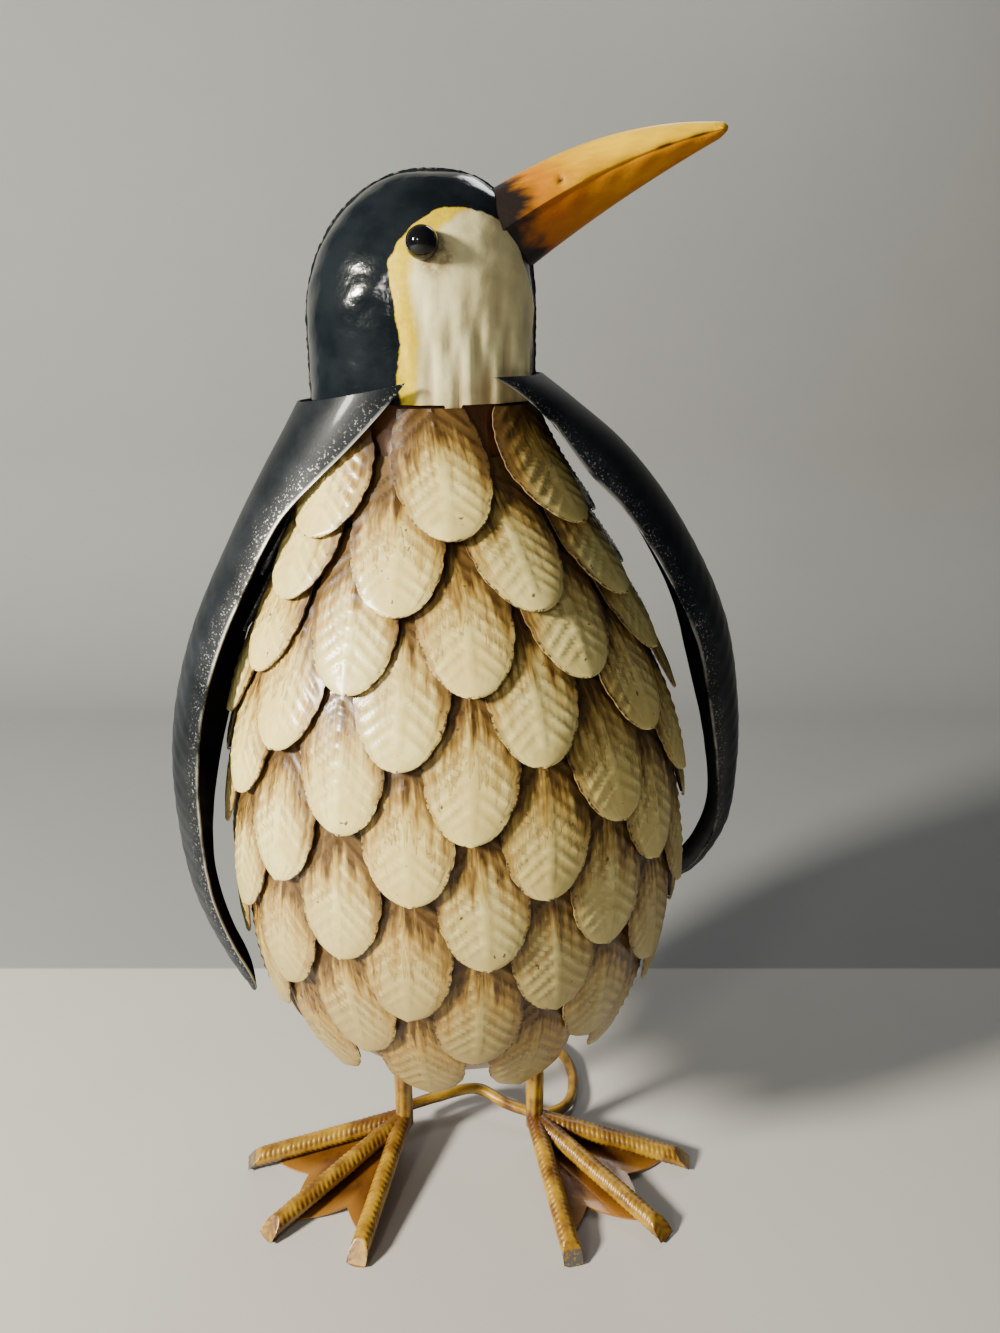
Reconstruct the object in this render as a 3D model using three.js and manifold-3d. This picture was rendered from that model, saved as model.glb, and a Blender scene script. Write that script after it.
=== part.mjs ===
// A standing penguin made of welded and painted sheet metal.
// Millimetres, +Z up. The figure looks along -Y with its body and has its head turned to +X.

import * as THREE from 'three';
import { mergeVertices } from 'three/addons/utils/BufferGeometryUtils.js';
import Module from 'manifold-3d';

// Sheets, rods and the space between separate pieces
const GAP = 0.3;
const FEATHER_SHEET = 0.8;
const WING_SHEET = 1.2;
const WEB_SHEET = 1;
const ROD_DIAMETER = 9.6;
const BRACE_DIAMETER = 6;

// Body shell: an egg that narrows to an oval neck
const BODY_HALF_WIDTH = 95;
const BODY_HALF_DEPTH = 88;
const BELLY_HEIGHT = 190;
const RIM_HEIGHT = 100;
const EGG_DEPTH_BELOW_BELLY = 127;
const SKIRT_SLOPE = 0.6;
const NECK_HEIGHT = 380;
const NECK_HALF_WIDTH = 44;
const NECK_HALF_DEPTH = 33;
const NECK_SHIFT = -12;
const BODY_CENTRE = -3.5;
const SHOULDER_FULLNESS = 2.6;
const NECK_LEAN = 2.5;

// Head shell, longer in front of its middle than the neck is wide
const HEAD_MIDDLE = -12;
const HEAD_BACK_REACH = 48;
const HEAD_FRONT_REACH = 41.5;
const HEAD_HALF_THICKNESS = 35.5;
const HEAD_WALL_HEIGHT = 28;
const HEAD_DOME_HEIGHT = 55.5;
const SEAM_HEIGHT = 1.5;
const SEAM_WIDTH = 2;
const BROW_FULLNESS = 2.6;
const DOME_LAST_RING = 84;

// Beak: its two edges as arcs, each from the head over a crown point to the tip.
// The root's places are shares of the head's front reach and of its dome.
const BEAK_LENGTH = 88;
const BEAK_RISE = 22;
const BEAK_ROOT_HALF_WIDTH = 17;
const BEAK_TIP_HALF_WIDTH = 2;
const BEAK_TIP_DEPTH = 4;
const BEAK_TIP_SLANT = 1;
const BEAK_TOP_FORWARD = 0.62;
const BEAK_TOP_RISE = 0.89;
const BEAK_LOW_RISE = 0.407;
const BEAK_CROWN = { along: 0.5, up: 1.13 };
const BEAK_CHIN = { along: 0.46, up: 0.545 };
const BEAK_SHARPNESS = 1.35;
const BEAK_TAPER = 0.85;

const EYE_DIAMETER = 12;
const EYE_FORWARD = 0.3;
const EYE_HEIGHT = 56;
const EYE_INSET = 2.5;

// Feathers
const FEATHER_LENGTH = 63;
const FEATHER_WIDTH = 34.5;
const FEATHER_SLOPE = 0.12;
const FEATHER_ROOT_LIFT = 0.7;
const FEATHER_CROWN = 0.9;
const ROOT_DIP = 0.9;
const FEATHER_TOP_MARGIN = 1;

// Rows of feathers from the neck down to the rim: where the top row's tips hang, and how many go round
const TOP_TIPS_BELOW_NECK = 51;
const ROW_PITCH = 25.3;
const FEATHERS_ROUND = 11;
const FEATHERS_ROUND_TOP = 7;
const FIRST_FEATHER_TURN = 7;
const BREAST_HALF_TURN = 64;
const SHARE_OF_PITCH = 0.47;
const CLOSE_ROWS = 3;

// Wings
const WING_HALF_WIDTH = 30;
const WING_TIP_HALF_WIDTH = 8;
const WING_CURL = 60;
const WING_BACK_WRAP = 45;
const WING_TAPER = 0.55;
const WING_TIP_TRIM = 0.22;
const WING_TIP_TRIM_FROM = 0.93;
const WING_TIP_UNCURL = 0.3;
const SHOULDER_DEPTH = 1.3;
const SHOULDER_ROUND = 1.15;
const SHOULDER_END = 0.2;
const WRAP_END = 0.16;
const TWIST_FROM = 0.45;
const LOBE_WRAP = 15;

// Legs and feet
const HIP_SPACING = 68;
const ANKLE_HEIGHT = 16;
const TOE_TIP_AXIS = 4.1;
const INNER_TOE = 77;
const MIDDLE_TOE = 86;
const OUTER_TOE = 81;
const INNER_TOE_TURN = 12;
const TOE_SPREAD = 33;
const TOE_BEVEL = 9;
const WEB_REACH = 0.82;
const WEB_NOTCH = 16;
const WEB_START = 1;

// The brace, from behind the right ankle over a low arch, past the left ankle and back to the floor:
// across in shares of half the hip spacing, back in shares of its reach, up from the floor to the ankle
const BRACE_REACH = 76;
const BRACE_SINK = 0.25;
const BRACE_ROUTE = [
  [-1.06, 0, 0.85], [-0.55, 0.13, 0.7], [0.1, 0.2, 0.77], [0.6, 0.09, 0.55], [1.12, 0.03, 0.4],
  [1.5, 0.13, 0.23], [1.68, 0.37, 0.03], [1.6, 0.66, 0], [1.18, 0.9, 0], [0.65, 1, 0],
];

// How finely the round forms are cut
const BODY_COLUMNS = 33;
const BODY_RINGS = 14;
const HEAD_COLUMNS = 28;
const HEAD_RINGS = 7;
const WING_STATIONS = 13;
const WING_COLUMNS = 5;
const ROD_SIDES = 8;
const BEAK_SIDES = 10;
const BEAK_STATIONS = [-0.12, 0.02, 0.22, 0.42, 0.62, 0.8, 0.93, 0.99];
const EYE_SIDES = 10;
const BRACE_STEPS = 24;
const WEB_STEPS = 4;
const WEB_RINGS = 2;

const wasm = await Module();
wasm.setup();

const rad = THREE.MathUtils.degToRad;
const lerp = THREE.MathUtils.lerp;
const smooth = THREE.MathUtils.smoothstep;

// Closed meshes from grids

function meshFrom(points, triangles) {
  const geometry = new THREE.BufferGeometry();
  geometry.setAttribute('position', new THREE.Float32BufferAttribute(points.flat(), 3));
  geometry.setIndex(triangles.flat());
  return geometry;
}

// A sheet: two grids of the same size, front and back, joined round their edge.
function sheetMesh(front, back) {
  const rows = front.length;
  const columns = front[0].length;
  const points = [...front.flat(), ...back.flat()];
  const at = (r, c) => r * columns + c;
  const under = (r, c) => rows * columns + at(r, c);
  const triangles = [];
  for (let r = 0; r < rows - 1; r++) {
    for (let c = 0; c < columns - 1; c++) {
      triangles.push([at(r, c), at(r + 1, c), at(r + 1, c + 1)]);
      triangles.push([at(r, c), at(r + 1, c + 1), at(r, c + 1)]);
      triangles.push([under(r, c), under(r + 1, c + 1), under(r + 1, c)]);
      triangles.push([under(r, c), under(r, c + 1), under(r + 1, c + 1)]);
    }
  }
  const rim = [];
  for (let c = 0; c < columns - 1; c++) rim.push([0, c]);
  for (let r = 0; r < rows - 1; r++) rim.push([r, columns - 1]);
  for (let c = columns - 1; c > 0; c--) rim.push([rows - 1, c]);
  for (let r = rows - 1; r > 0; r--) rim.push([r, 0]);
  rim.forEach(([r, c], i) => {
    const [nr, nc] = rim[(i + 1) % rim.length];
    triangles.push([at(r, c), at(nr, nc), under(nr, nc)]);
    triangles.push([at(r, c), under(nr, nc), under(r, c)]);
  });
  return meshFrom(points, triangles);
}

// A round body: rings of equal size from bottom to top, closed by a point at each end.
function ringMesh(rings, bottom, top) {
  const columns = rings[0].length;
  const points = [...rings.flat(), bottom, top];
  const at = (r, c) => r * columns + (c % columns);
  const low = rings.length * columns;
  const triangles = [];
  for (let c = 0; c < columns; c++) {
    triangles.push([low, at(0, c + 1), at(0, c)]);
    for (let r = 0; r < rings.length - 1; r++) {
      triangles.push([at(r, c), at(r, c + 1), at(r + 1, c + 1)]);
      triangles.push([at(r, c), at(r + 1, c + 1), at(r + 1, c)]);
    }
    triangles.push([low + 1, at(rings.length - 1, c), at(rings.length - 1, c + 1)]);
  }
  return meshFrom(points, triangles);
}

function toSolid(geometry) {
  const bare = geometry.clone();
  bare.deleteAttribute('normal');
  bare.deleteAttribute('uv');
  const merged = mergeVertices(bare, 1e-4);
  return new wasm.Manifold(new wasm.Mesh({
    numProp: 3,
    vertProperties: new Float32Array(merged.attributes.position.array),
    triVerts: new Uint32Array(merged.index.array),
  }));
}

function toGeometry(solid) {
  const mesh = solid.getMesh();
  const geometry = new THREE.BufferGeometry();
  geometry.setAttribute('position', new THREE.BufferAttribute(mesh.vertProperties, 3));
  geometry.setIndex(new THREE.BufferAttribute(mesh.triVerts, 1));
  return geometry;
}

// Body surface

function bodyHalf(height, belly, neck) {
  if (height > BELLY_HEIGHT) {
    const share = Math.min(1, (height - BELLY_HEIGHT) / (NECK_HEIGHT - BELLY_HEIGHT));
    return neck + (belly - neck) * (1 - share ** SHOULDER_FULLNESS) ** 2;
  }
  const share = (BELLY_HEIGHT - Math.max(height, RIM_HEIGHT)) / EGG_DEPTH_BELOW_BELLY;
  const hanging = Math.max(0, RIM_HEIGHT - height) * SKIRT_SLOPE;
  return belly * Math.sqrt(1 - share ** 2) - hanging;
}

function bodyMiddle(height) {
  const share = THREE.MathUtils.clamp((height - BELLY_HEIGHT) / (NECK_HEIGHT - BELLY_HEIGHT), 0, 1);
  return BODY_CENTRE + NECK_SHIFT * share ** NECK_LEAN;
}

// A point of the shell's surface: turn is 0 in front and grows towards +X.
function bodyPoint(turn, height) {
  return new THREE.Vector3(
    bodyMiddle(height) + bodyHalf(height, BODY_HALF_WIDTH, NECK_HALF_WIDTH) * Math.sin(turn),
    -bodyHalf(height, BODY_HALF_DEPTH, NECK_HALF_DEPTH) * Math.cos(turn),
    height,
  );
}

function bodyFrame(turn, height) {
  const step = 0.01;
  const point = bodyPoint(turn, height);
  const across = bodyPoint(turn + step, height).sub(bodyPoint(turn - step, height));
  const up = bodyPoint(turn, height + 1).sub(bodyPoint(turn, height - 1)).normalize();
  const radius = across.length() / (2 * step);
  const normal = new THREE.Vector3().crossVectors(across, up).normalize();
  return { point, normal, radius };
}

function bodyShell() {
  const rings = [];
  for (let r = 0; r <= BODY_RINGS; r++) {
    const share = 1 - (1 - r / BODY_RINGS) ** 1.4;
    const height = lerp(RIM_HEIGHT, NECK_HEIGHT - GAP, share);
    const ring = [];
    for (let c = 0; c < BODY_COLUMNS; c++) {
      ring.push(bodyPoint((2 * Math.PI * c) / BODY_COLUMNS, height).toArray());
    }
    rings.push(ring);
  }
  const middle = (height) => [bodyMiddle(height), 0, height];
  return ringMesh(rings, middle(RIM_HEIGHT), middle(NECK_HEIGHT - GAP));
}

// Feathers

// Half width of the leaf, as a share of its widest, at a share of its length from the root.
const LEAF = [[0, 0.46], [0.38, 0.97], [0.76, 0.86], [1, 0.26]];
const PLAIN_LEAF = [[0, 0.46], [0.58, 1], [1, 0.32]];

// Heights on the shell at the leaf's stations, walked up along the surface from the tip.
function leafHeights(turn, tip, length, leaf) {
  const step = 0.5;
  const heights = new Array(leaf.length);
  let next = leaf.length - 1;
  let walked = 0;
  let height = tip;
  while (next >= 0) {
    const wanted = length * (1 - leaf[next][0]);
    while (walked < wanted && height < NECK_HEIGHT - FEATHER_TOP_MARGIN) {
      walked += bodyPoint(turn, height + step).distanceTo(bodyPoint(turn, height));
      height += step;
    }
    heights[next] = height;
    next -= 1;
  }
  return heights;
}

function feather({ degrees, tip, pitch }, rootLift, leaf, sides) {
  const turn = rad(degrees);
  const room = rad(pitch) * SHARE_OF_PITCH;
  const heights = leafHeights(turn, tip, FEATHER_LENGTH, leaf);
  const front = [];
  const back = [];
  leaf.forEach(([share, half], i) => {
    const rowFront = [];
    const rowBack = [];
    for (const side of sides) {
      const middle = bodyFrame(turn, heights[i]);
      const offset = side * Math.min(room, (half * FEATHER_WIDTH) / 2 / middle.radius);
      const { point, normal } = bodyFrame(turn + offset, heights[i]);
      const slope = share === 0 ? rootLift : FEATHER_ROOT_LIFT + FEATHER_SLOPE * FEATHER_LENGTH * share;
      const lift = slope + (side === 0 ? FEATHER_CROWN * Math.min(1, share * 3) : 0);
      rowBack.push(point.clone().addScaledVector(normal, lift).toArray());
      rowFront.push(point.clone().addScaledVector(normal, lift + FEATHER_SHEET).toArray());
    }
    front.push(rowFront);
    back.push(rowBack);
  });
  return sheetMesh(front, back);
}

function featherPlaces() {
  const places = [];
  const topTips = NECK_HEIGHT - TOP_TIPS_BELOW_NECK;
  const rows = Math.floor((topTips - RIM_HEIGHT) / ROW_PITCH) + 1;
  for (let row = 0; row < rows; row++) {
    const count = Math.min(FEATHERS_ROUND, FEATHERS_ROUND_TOP + 2 * row);
    const pitch = 360 / count;
    const tip = topTips - ROW_PITCH * row;
    const shift = row % 2 === 0 ? 0 : pitch / 2;
    for (let i = 0; i < count; i++) {
      const degrees = ((FIRST_FEATHER_TURN - shift + i * pitch + 180) % 360) - 180;
      places.push({ row, degrees, tip, pitch });
    }
  }
  return places;
}

// Head

function headRadii(share) {
  const back = HEAD_BACK_REACH * Math.sqrt(1 - share ** 2);
  const front = HEAD_FRONT_REACH * (1 - share ** BROW_FULLNESS) ** (1 / BROW_FULLNESS);
  const thick = HEAD_HALF_THICKNESS * Math.sqrt(1 - share ** 2);
  return { back, front, thick };
}

// One level ring of the head. Turn 0 is the beak's side, and the seam stands proud at both ends.
function headRing(height, share, grow) {
  const { back, front, thick } = headRadii(share);
  const half = HEAD_COLUMNS / 2;
  const edge = Math.min(0.5, SEAM_WIDTH / 2 / Math.max(thick, 1));
  const ring = [];
  for (let c = 0; c < HEAD_COLUMNS; c++) {
    const inHalf = c % half;
    const start = c < half ? 0 : Math.PI;
    const spread = (inHalf - 1) / (half - 2);
    const turn = inHalf === 0 ? start : start + lerp(edge, Math.PI - edge, spread);
    const seam = inHalf === 0 ? SEAM_HEIGHT : 0;
    const reach = Math.cos(turn) > 0 ? front : back;
    ring.push([
      HEAD_MIDDLE + Math.cos(turn) * (reach + grow + seam),
      Math.sin(turn) * (thick + grow),
      height,
    ]);
  }
  return ring;
}

function headMesh(grow) {
  const rings = [];
  const base = NECK_HEIGHT - grow;
  const wall = NECK_HEIGHT + HEAD_WALL_HEIGHT;
  rings.push(headRing(base, 0, grow));
  for (let r = 0; r < HEAD_RINGS; r++) {
    const angle = rad((DOME_LAST_RING * r) / (HEAD_RINGS - 1));
    const share = Math.sin(angle);
    rings.push(headRing(wall + (HEAD_DOME_HEIGHT + grow) * share, share, grow));
  }
  const crown = wall + HEAD_DOME_HEIGHT + grow + SEAM_HEIGHT;
  return ringMesh(rings, [HEAD_MIDDLE, 0, base], [HEAD_MIDDLE, 0, crown]);
}

// Beak

// A point of an arc through three control points in the plane of the profile.
function arcPoint(share, [ax, az], [bx, bz], [cx, cz]) {
  const a = (1 - share) ** 2;
  const b = 2 * share * (1 - share);
  const c = share ** 2;
  return [a * ax + b * bx + c * cx, a * az + b * bz + c * cz];
}

function beakMesh() {
  const neck = NECK_HEIGHT + HEAD_WALL_HEIGHT;
  const rootTop = [
    HEAD_MIDDLE + HEAD_FRONT_REACH * BEAK_TOP_FORWARD,
    neck + HEAD_DOME_HEIGHT * BEAK_TOP_RISE,
  ];
  const rootLow = [HEAD_MIDDLE + HEAD_FRONT_REACH, neck + HEAD_DOME_HEIGHT * BEAK_LOW_RISE];
  const tipTop = [rootTop[0] + BEAK_LENGTH, rootTop[1] + BEAK_RISE];
  const tipLow = [tipTop[0] - BEAK_TIP_SLANT, tipTop[1] - BEAK_TIP_DEPTH];
  const topBend = [rootTop[0] + BEAK_LENGTH * BEAK_CROWN.along, rootTop[1] + BEAK_RISE * BEAK_CROWN.up];
  const lowBend = [lerp(rootLow[0], tipLow[0], BEAK_CHIN.along), lerp(rootLow[1], tipLow[1], BEAK_CHIN.up)];
  const rings = [];
  for (const share of BEAK_STATIONS) {
    const top = arcPoint(share, rootTop, topBend, tipTop);
    const low = arcPoint(share, rootLow, lowBend, tipLow);
    const mouth = [lerp(low[0], top[0], 0.5), lerp(low[1], top[1], 0.5)];
    const rest = (1 - share) ** BEAK_TAPER;
    const wide = lerp(BEAK_TIP_HALF_WIDTH, BEAK_ROOT_HALF_WIDTH, rest);
    const ring = [];
    for (let c = 0; c < BEAK_SIDES; c++) {
      const turn = (2 * Math.PI * c) / BEAK_SIDES;
      const lift = Math.sign(Math.sin(turn)) * Math.abs(Math.sin(turn)) ** BEAK_SHARPNESS;
      const out = Math.sign(Math.cos(turn)) * Math.abs(Math.cos(turn)) ** BEAK_SHARPNESS;
      const edge = lift > 0 ? top : low;
      ring.push([
        lerp(mouth[0], edge[0], Math.abs(lift)),
        wide * out,
        lerp(mouth[1], edge[1], Math.abs(lift)),
      ]);
    }
    rings.push(ring);
  }
  const middle = (ring) => {
    const sum = ring.reduce((a, p) => [a[0] + p[0], a[1] + p[1], a[2] + p[2]], [0, 0, 0]);
    return sum.map((value) => value / ring.length);
  };
  const tip = middle(rings[rings.length - 1]);
  return ringMesh(rings, middle(rings[0]), [tip[0] + BEAK_TIP_SLANT, tip[1], tip[2] + BEAK_TIP_SLANT / 2]);
}

function eyeMesh(side) {
  const ball = new THREE.SphereGeometry(EYE_DIAMETER / 2, EYE_SIDES, EYE_SIDES - 2);
  ball.rotateX(Math.PI / 2);
  const outward = side * (HEAD_HALF_THICKNESS - EYE_INSET);
  ball.translate(HEAD_MIDDLE + EYE_FORWARD, outward, NECK_HEIGHT + EYE_HEIGHT);
  return ball;
}

// Wings

// The wing's outermost line, from the neck to the tip: the height as a share of the neck's, how far
// it stands outside the shell's side as a share of the body's half width, and how far it lies behind
// the figure's middle as a share of the body's half depth.
const LEFT_WING = {
  side: 1,
  frontWrap: 40,
  twist: 8,
  lobeRise: 0,
  spine: [[1.026, 0.053, 0], [0.998, 0.2, 0.011], [0.955, 0.358, 0.023], [0.88, 0.453, 0.068],
    [0.76, 0.453, 0.125], [0.64, 0.405, 0.17], [0.55, 0.395, 0.216], [0.47, 0.384, 0.273],
    [0.4, 0.316, 0.341], [0.36, 0.221, 0.398]],
};
const RIGHT_WING = {
  side: -1,
  frontWrap: 78,
  twist: 22,
  lobeRise: 9,
  spine: [[0.998, 0.068, 0], [0.97, 0.137, -0.011], [0.93, 0.211, -0.023], [0.86, 0.274, -0.057],
    [0.75, 0.316, -0.102], [0.64, 0.321, -0.148], [0.54, 0.3, -0.216], [0.45, 0.242, -0.318],
    [0.385, 0.163, -0.409], [0.335, 0.084, -0.489]],
};

function wingSpine({ side, spine }) {
  return new THREE.CatmullRomCurve3(spine.map(([share, out, behind]) => {
    const height = share * NECK_HEIGHT;
    const half = bodyHalf(height, BODY_HALF_WIDTH, NECK_HALF_WIDTH) + out * BODY_HALF_WIDTH;
    return new THREE.Vector3(bodyMiddle(height) + side * half, behind * BODY_HALF_DEPTH, height);
  }), false, 'centripetal');
}

// The wing's cross directions at a share of its length: level at the shoulder, then square to the
// spine and turned about it towards the tip.
function wingDirections(line, share, { side, twist }) {
  const along = line.getTangentAt(share);
  const level = new THREE.Vector3(side, 0, 0);
  const square = new THREE.Vector3(-along.z, 0, along.x).multiplyScalar(side).normalize();
  const out = level.lerp(square, smooth(share, 0, SHOULDER_END)).normalize();
  const across = new THREE.Vector3(0, 1, 0);
  const turn = rad(twist) * side * smooth(share, TWIST_FROM, 1);
  out.applyAxisAngle(along, turn);
  across.applyAxisAngle(along, turn);
  return { out, across };
}

// The wing is a curled strip. At the shoulder it is wrapped round the neck, with a lobe in front.
function wingSheet(wing) {
  const { side, frontWrap, lobeRise } = wing;
  const line = wingSpine(wing);
  const front = [];
  const back = [];
  for (let i = 0; i <= WING_STATIONS; i++) {
    const share = i / WING_STATIONS;
    const point = line.getPointAt(share);
    const { out, across } = wingDirections(line, share, wing);
    const trim = Math.max(0, (share - WING_TIP_TRIM_FROM) / (1 - WING_TIP_TRIM_FROM)) ** 2 * WING_TIP_TRIM;
    const narrowing = smooth(share, 0.5, 1);
    const wide = Math.max(WING_TIP_HALF_WIDTH, WING_HALF_WIDTH * (1 - narrowing * WING_TAPER - trim));
    const curl = WING_CURL * (1 - WING_TIP_UNCURL * narrowing);
    const radius = wide / Math.sin(rad(curl));
    const deep = radius * lerp(SHOULDER_DEPTH, 1, smooth(share, 0, SHOULDER_END));
    const round = radius * lerp(SHOULDER_ROUND, 1, smooth(share, 0, SHOULDER_END));
    const unwrapped = smooth(share, 0, WRAP_END);
    const lobe = Math.max(0, 1 - i);
    const forward = lerp(frontWrap, curl, unwrapped) + LOBE_WRAP * lobe;
    const backward = lerp(WING_BACK_WRAP, curl, unwrapped);
    const rowFront = [];
    const rowBack = [];
    for (let c = 0; c <= WING_COLUMNS; c++) {
      const angle = lerp(-forward, backward, c / WING_COLUMNS);
      const rise = lobeRise * lobe * Math.max(0, -angle / forward) ** 2;
      const place = (inner) => point.clone()
        .addScaledVector(across, (round - inner) * Math.sin(rad(angle)))
        .addScaledVector(out, (deep - inner) * Math.cos(rad(angle)) - deep)
        .add(new THREE.Vector3(0, 0, rise));
      rowFront.push(place(0).toArray());
      rowBack.push(place(WING_SHEET).toArray());
    }
    front.push(rowFront);
    back.push(rowBack);
  }
  return side > 0 ? sheetMesh(front, back) : sheetMesh(back, front);
}

// Legs and feet

function rodMesh(curve, diameter, steps) {
  const section = new THREE.Shape();
  for (let i = 0; i < ROD_SIDES; i++) {
    const turn = (2 * Math.PI * i) / ROD_SIDES;
    const corner = [(diameter / 2) * Math.cos(turn), (diameter / 2) * Math.sin(turn)];
    if (i === 0) section.moveTo(...corner);
    else section.lineTo(...corner);
  }
  return new THREE.ExtrudeGeometry(section, { steps, bevelEnabled: false, extrudePath: curve });
}

const TOES = [
  { name: 'inner', length: INNER_TOE, turn: INNER_TOE_TURN },
  { name: 'middle', length: MIDDLE_TOE, turn: INNER_TOE_TURN + TOE_SPREAD },
  { name: 'outer', length: OUTER_TOE, turn: INNER_TOE_TURN + 2 * TOE_SPREAD },
];

// A point at a distance from the ankle, turned from straight ahead to the foot's outer side.
function footPoint(side, turn, distance, height) {
  return new THREE.Vector3(
    side * (HIP_SPACING / 2 + distance * Math.sin(rad(turn))),
    -distance * Math.cos(rad(turn)),
    height,
  );
}

function toeAxisHeight(distance, length) {
  return lerp(ANKLE_HEIGHT, TOE_TIP_AXIS, distance / length);
}

function toeRod(side, toe, diameter) {
  const ankle = footPoint(side, toe.turn, 0, ANKLE_HEIGHT);
  const tip = footPoint(side, toe.turn, toe.length, TOE_TIP_AXIS);
  return rodMesh(new THREE.LineCurve3(ankle, tip), diameter, 1);
}

function legRod(side, diameter) {
  const foot = footPoint(side, 0, 0, ANKLE_HEIGHT - ROD_DIAMETER / 2 - GAP / 2);
  const hip = footPoint(side, 0, 0, RIM_HEIGHT - GAP);
  return rodMesh(new THREE.LineCurve3(foot, hip), diameter, 1);
}

// A block over the toe's slanted end: the bar is cut from its top down to its lower edge at the tip.
function toeBevel(side, toe) {
  const size = 4 * ROD_DIAMETER;
  const from = footPoint(side, toe.turn, toe.length - TOE_BEVEL, ROD_DIAMETER / 2);
  const to = footPoint(side, toe.turn, toe.length, -ROD_DIAMETER / 4);
  from.z += toeAxisHeight(toe.length - TOE_BEVEL, toe.length);
  to.z += TOE_TIP_AXIS;
  const along = to.clone().sub(from).normalize();
  const across = new THREE.Vector3(0, 0, 1).cross(along).normalize();
  const up = along.clone().cross(across);
  const block = new THREE.BoxGeometry(size, size, size);
  block.translate(0, 0, size / 2);
  block.applyMatrix4(new THREE.Matrix4().makeBasis(along, across, up).setPosition(from));
  return block;
}

function groundBlock() {
  const size = 4 * BODY_HALF_WIDTH;
  const block = new THREE.BoxGeometry(size, size, size);
  block.translate(0, 0, -size / 2);
  return block;
}

// The web's top under the toes: it hangs a gap below the rods and is notched between them.
function webSheet(side) {
  const drop = ROD_DIAMETER / 2 + GAP * 1.2;
  const top = [];
  const under = [];
  for (let sector = 0; sector < 2; sector++) {
    const [from, to] = [TOES[sector], TOES[sector + 1]];
    for (let i = sector === 0 ? 0 : 1; i <= WEB_STEPS; i++) {
      const share = i / WEB_STEPS;
      const length = lerp(from.length, to.length, share);
      const edge = length * WEB_REACH - WEB_NOTCH * (1 - Math.abs(2 * share - 1));
      const rowTop = [];
      const rowUnder = [];
      for (let j = 0; j <= WEB_RINGS; j++) {
        const distance = lerp(WEB_START, edge, j / WEB_RINGS);
        const height = toeAxisHeight(distance, length) - drop;
        const place = footPoint(side, lerp(from.turn, to.turn, share), distance, height);
        rowTop.push(place.toArray());
        rowUnder.push([place.x, place.y, place.z - WEB_SHEET]);
      }
      top.push(rowTop);
      under.push(rowUnder);
    }
  }
  return side > 0 ? sheetMesh(under, top) : sheetMesh(top, under);
}

function braceRod() {
  const behind = ROD_DIAMETER / 2 + BRACE_DIAMETER / 2 + 2 * GAP;
  const floor = BRACE_DIAMETER / 2 - BRACE_SINK;
  const line = new THREE.CatmullRomCurve3(BRACE_ROUTE.map(([across, back, up]) => new THREE.Vector3(
    across * (HIP_SPACING / 2),
    behind + back * BRACE_REACH,
    lerp(floor, ANKLE_HEIGHT, up),
  )));
  return rodMesh(line, BRACE_DIAMETER, BRACE_STEPS);
}

// Paints

function paint(color, roughness, metalness) {
  return new THREE.MeshStandardMaterial({ color, roughness, metalness });
}

const AMBER = () => paint(0x8a5a22, 0.35, 0.2);
const CREAM = () => paint(0xd9c49c, 0.4, 0.1);
const BLACK = () => paint(0x15181b, 0.25, 0.2);
const YELLOW = () => paint(0xd99a1c, 0.35, 0.1);
const OCHRE = () => paint(0xa8741f, 0.4, 0.3);
const BEAD = () => paint(0x050505, 0.05, 0);

// Assembly

const figure = new THREE.Group();

function add(name, geometry, material) {
  const mesh = new THREE.Mesh(geometry, material);
  mesh.name = name;
  figure.add(mesh);
}

const places = featherPlaces();
const onBreast = ({ degrees }) => Math.abs(degrees) < BREAST_HALF_TURN;
let shell = toSolid(bodyShell());
for (const place of places.filter((candidate) => !onBreast(candidate))) {
  const close = place.row < CLOSE_ROWS;
  const leaf = close ? LEAF : PLAIN_LEAF;
  const sides = close ? [-1, 0, 1] : [-1, 1];
  shell = shell.add(toSolid(feather(place, -ROOT_DIP, leaf, sides)));
}
add('body_shell', toGeometry(shell), AMBER());

const counts = {};
const byTurn = (a, b) => a.row - b.row || a.degrees - b.degrees;
for (const place of places.filter(onBreast).sort(byTurn)) {
  counts[place.row] = (counts[place.row] ?? 0) + 1;
  const name = `breast_feather_${place.row + 1}_${counts[place.row]}`;
  add(name, feather(place, FEATHER_ROOT_LIFT, LEAF, [-1, 0, 1]), CREAM());
}

const headSpace = toSolid(headMesh(GAP));
add('head', headMesh(0), BLACK());
add('beak', toGeometry(toSolid(beakMesh()).subtract(headSpace)), YELLOW());
add('eye_right', toGeometry(toSolid(eyeMesh(-1)).subtract(headSpace)), BEAD());
add('eye_left', toGeometry(toSolid(eyeMesh(1)).subtract(headSpace)), BEAD());
add('wing_left', wingSheet(LEFT_WING), BLACK());
add('wing_right', wingSheet(RIGHT_WING), BLACK());

const ground = toSolid(groundBlock());
for (const [side, label] of [[1, 'left'], [-1, 'right']]) {
  const legSpace = toSolid(legRod(side, ROD_DIAMETER + 2 * GAP));
  add(`leg_${label}`, legRod(side, ROD_DIAMETER), OCHRE());
  let taken = legSpace.add(ground);
  for (const toe of [TOES[1], TOES[0], TOES[2]]) {
    const bar = toSolid(toeRod(side, toe, ROD_DIAMETER)).subtract(toSolid(toeBevel(side, toe)));
    const rod = bar.subtract(taken);
    add(`toe_${toe.name}_${label}`, toGeometry(rod), OCHRE());
    taken = taken.add(toSolid(toeRod(side, toe, ROD_DIAMETER + 2 * GAP)));
  }
  add(`web_${label}`, webSheet(side), AMBER());
}
add('brace_rod', toGeometry(toSolid(braceRod()).subtract(ground)), OCHRE());

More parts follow.
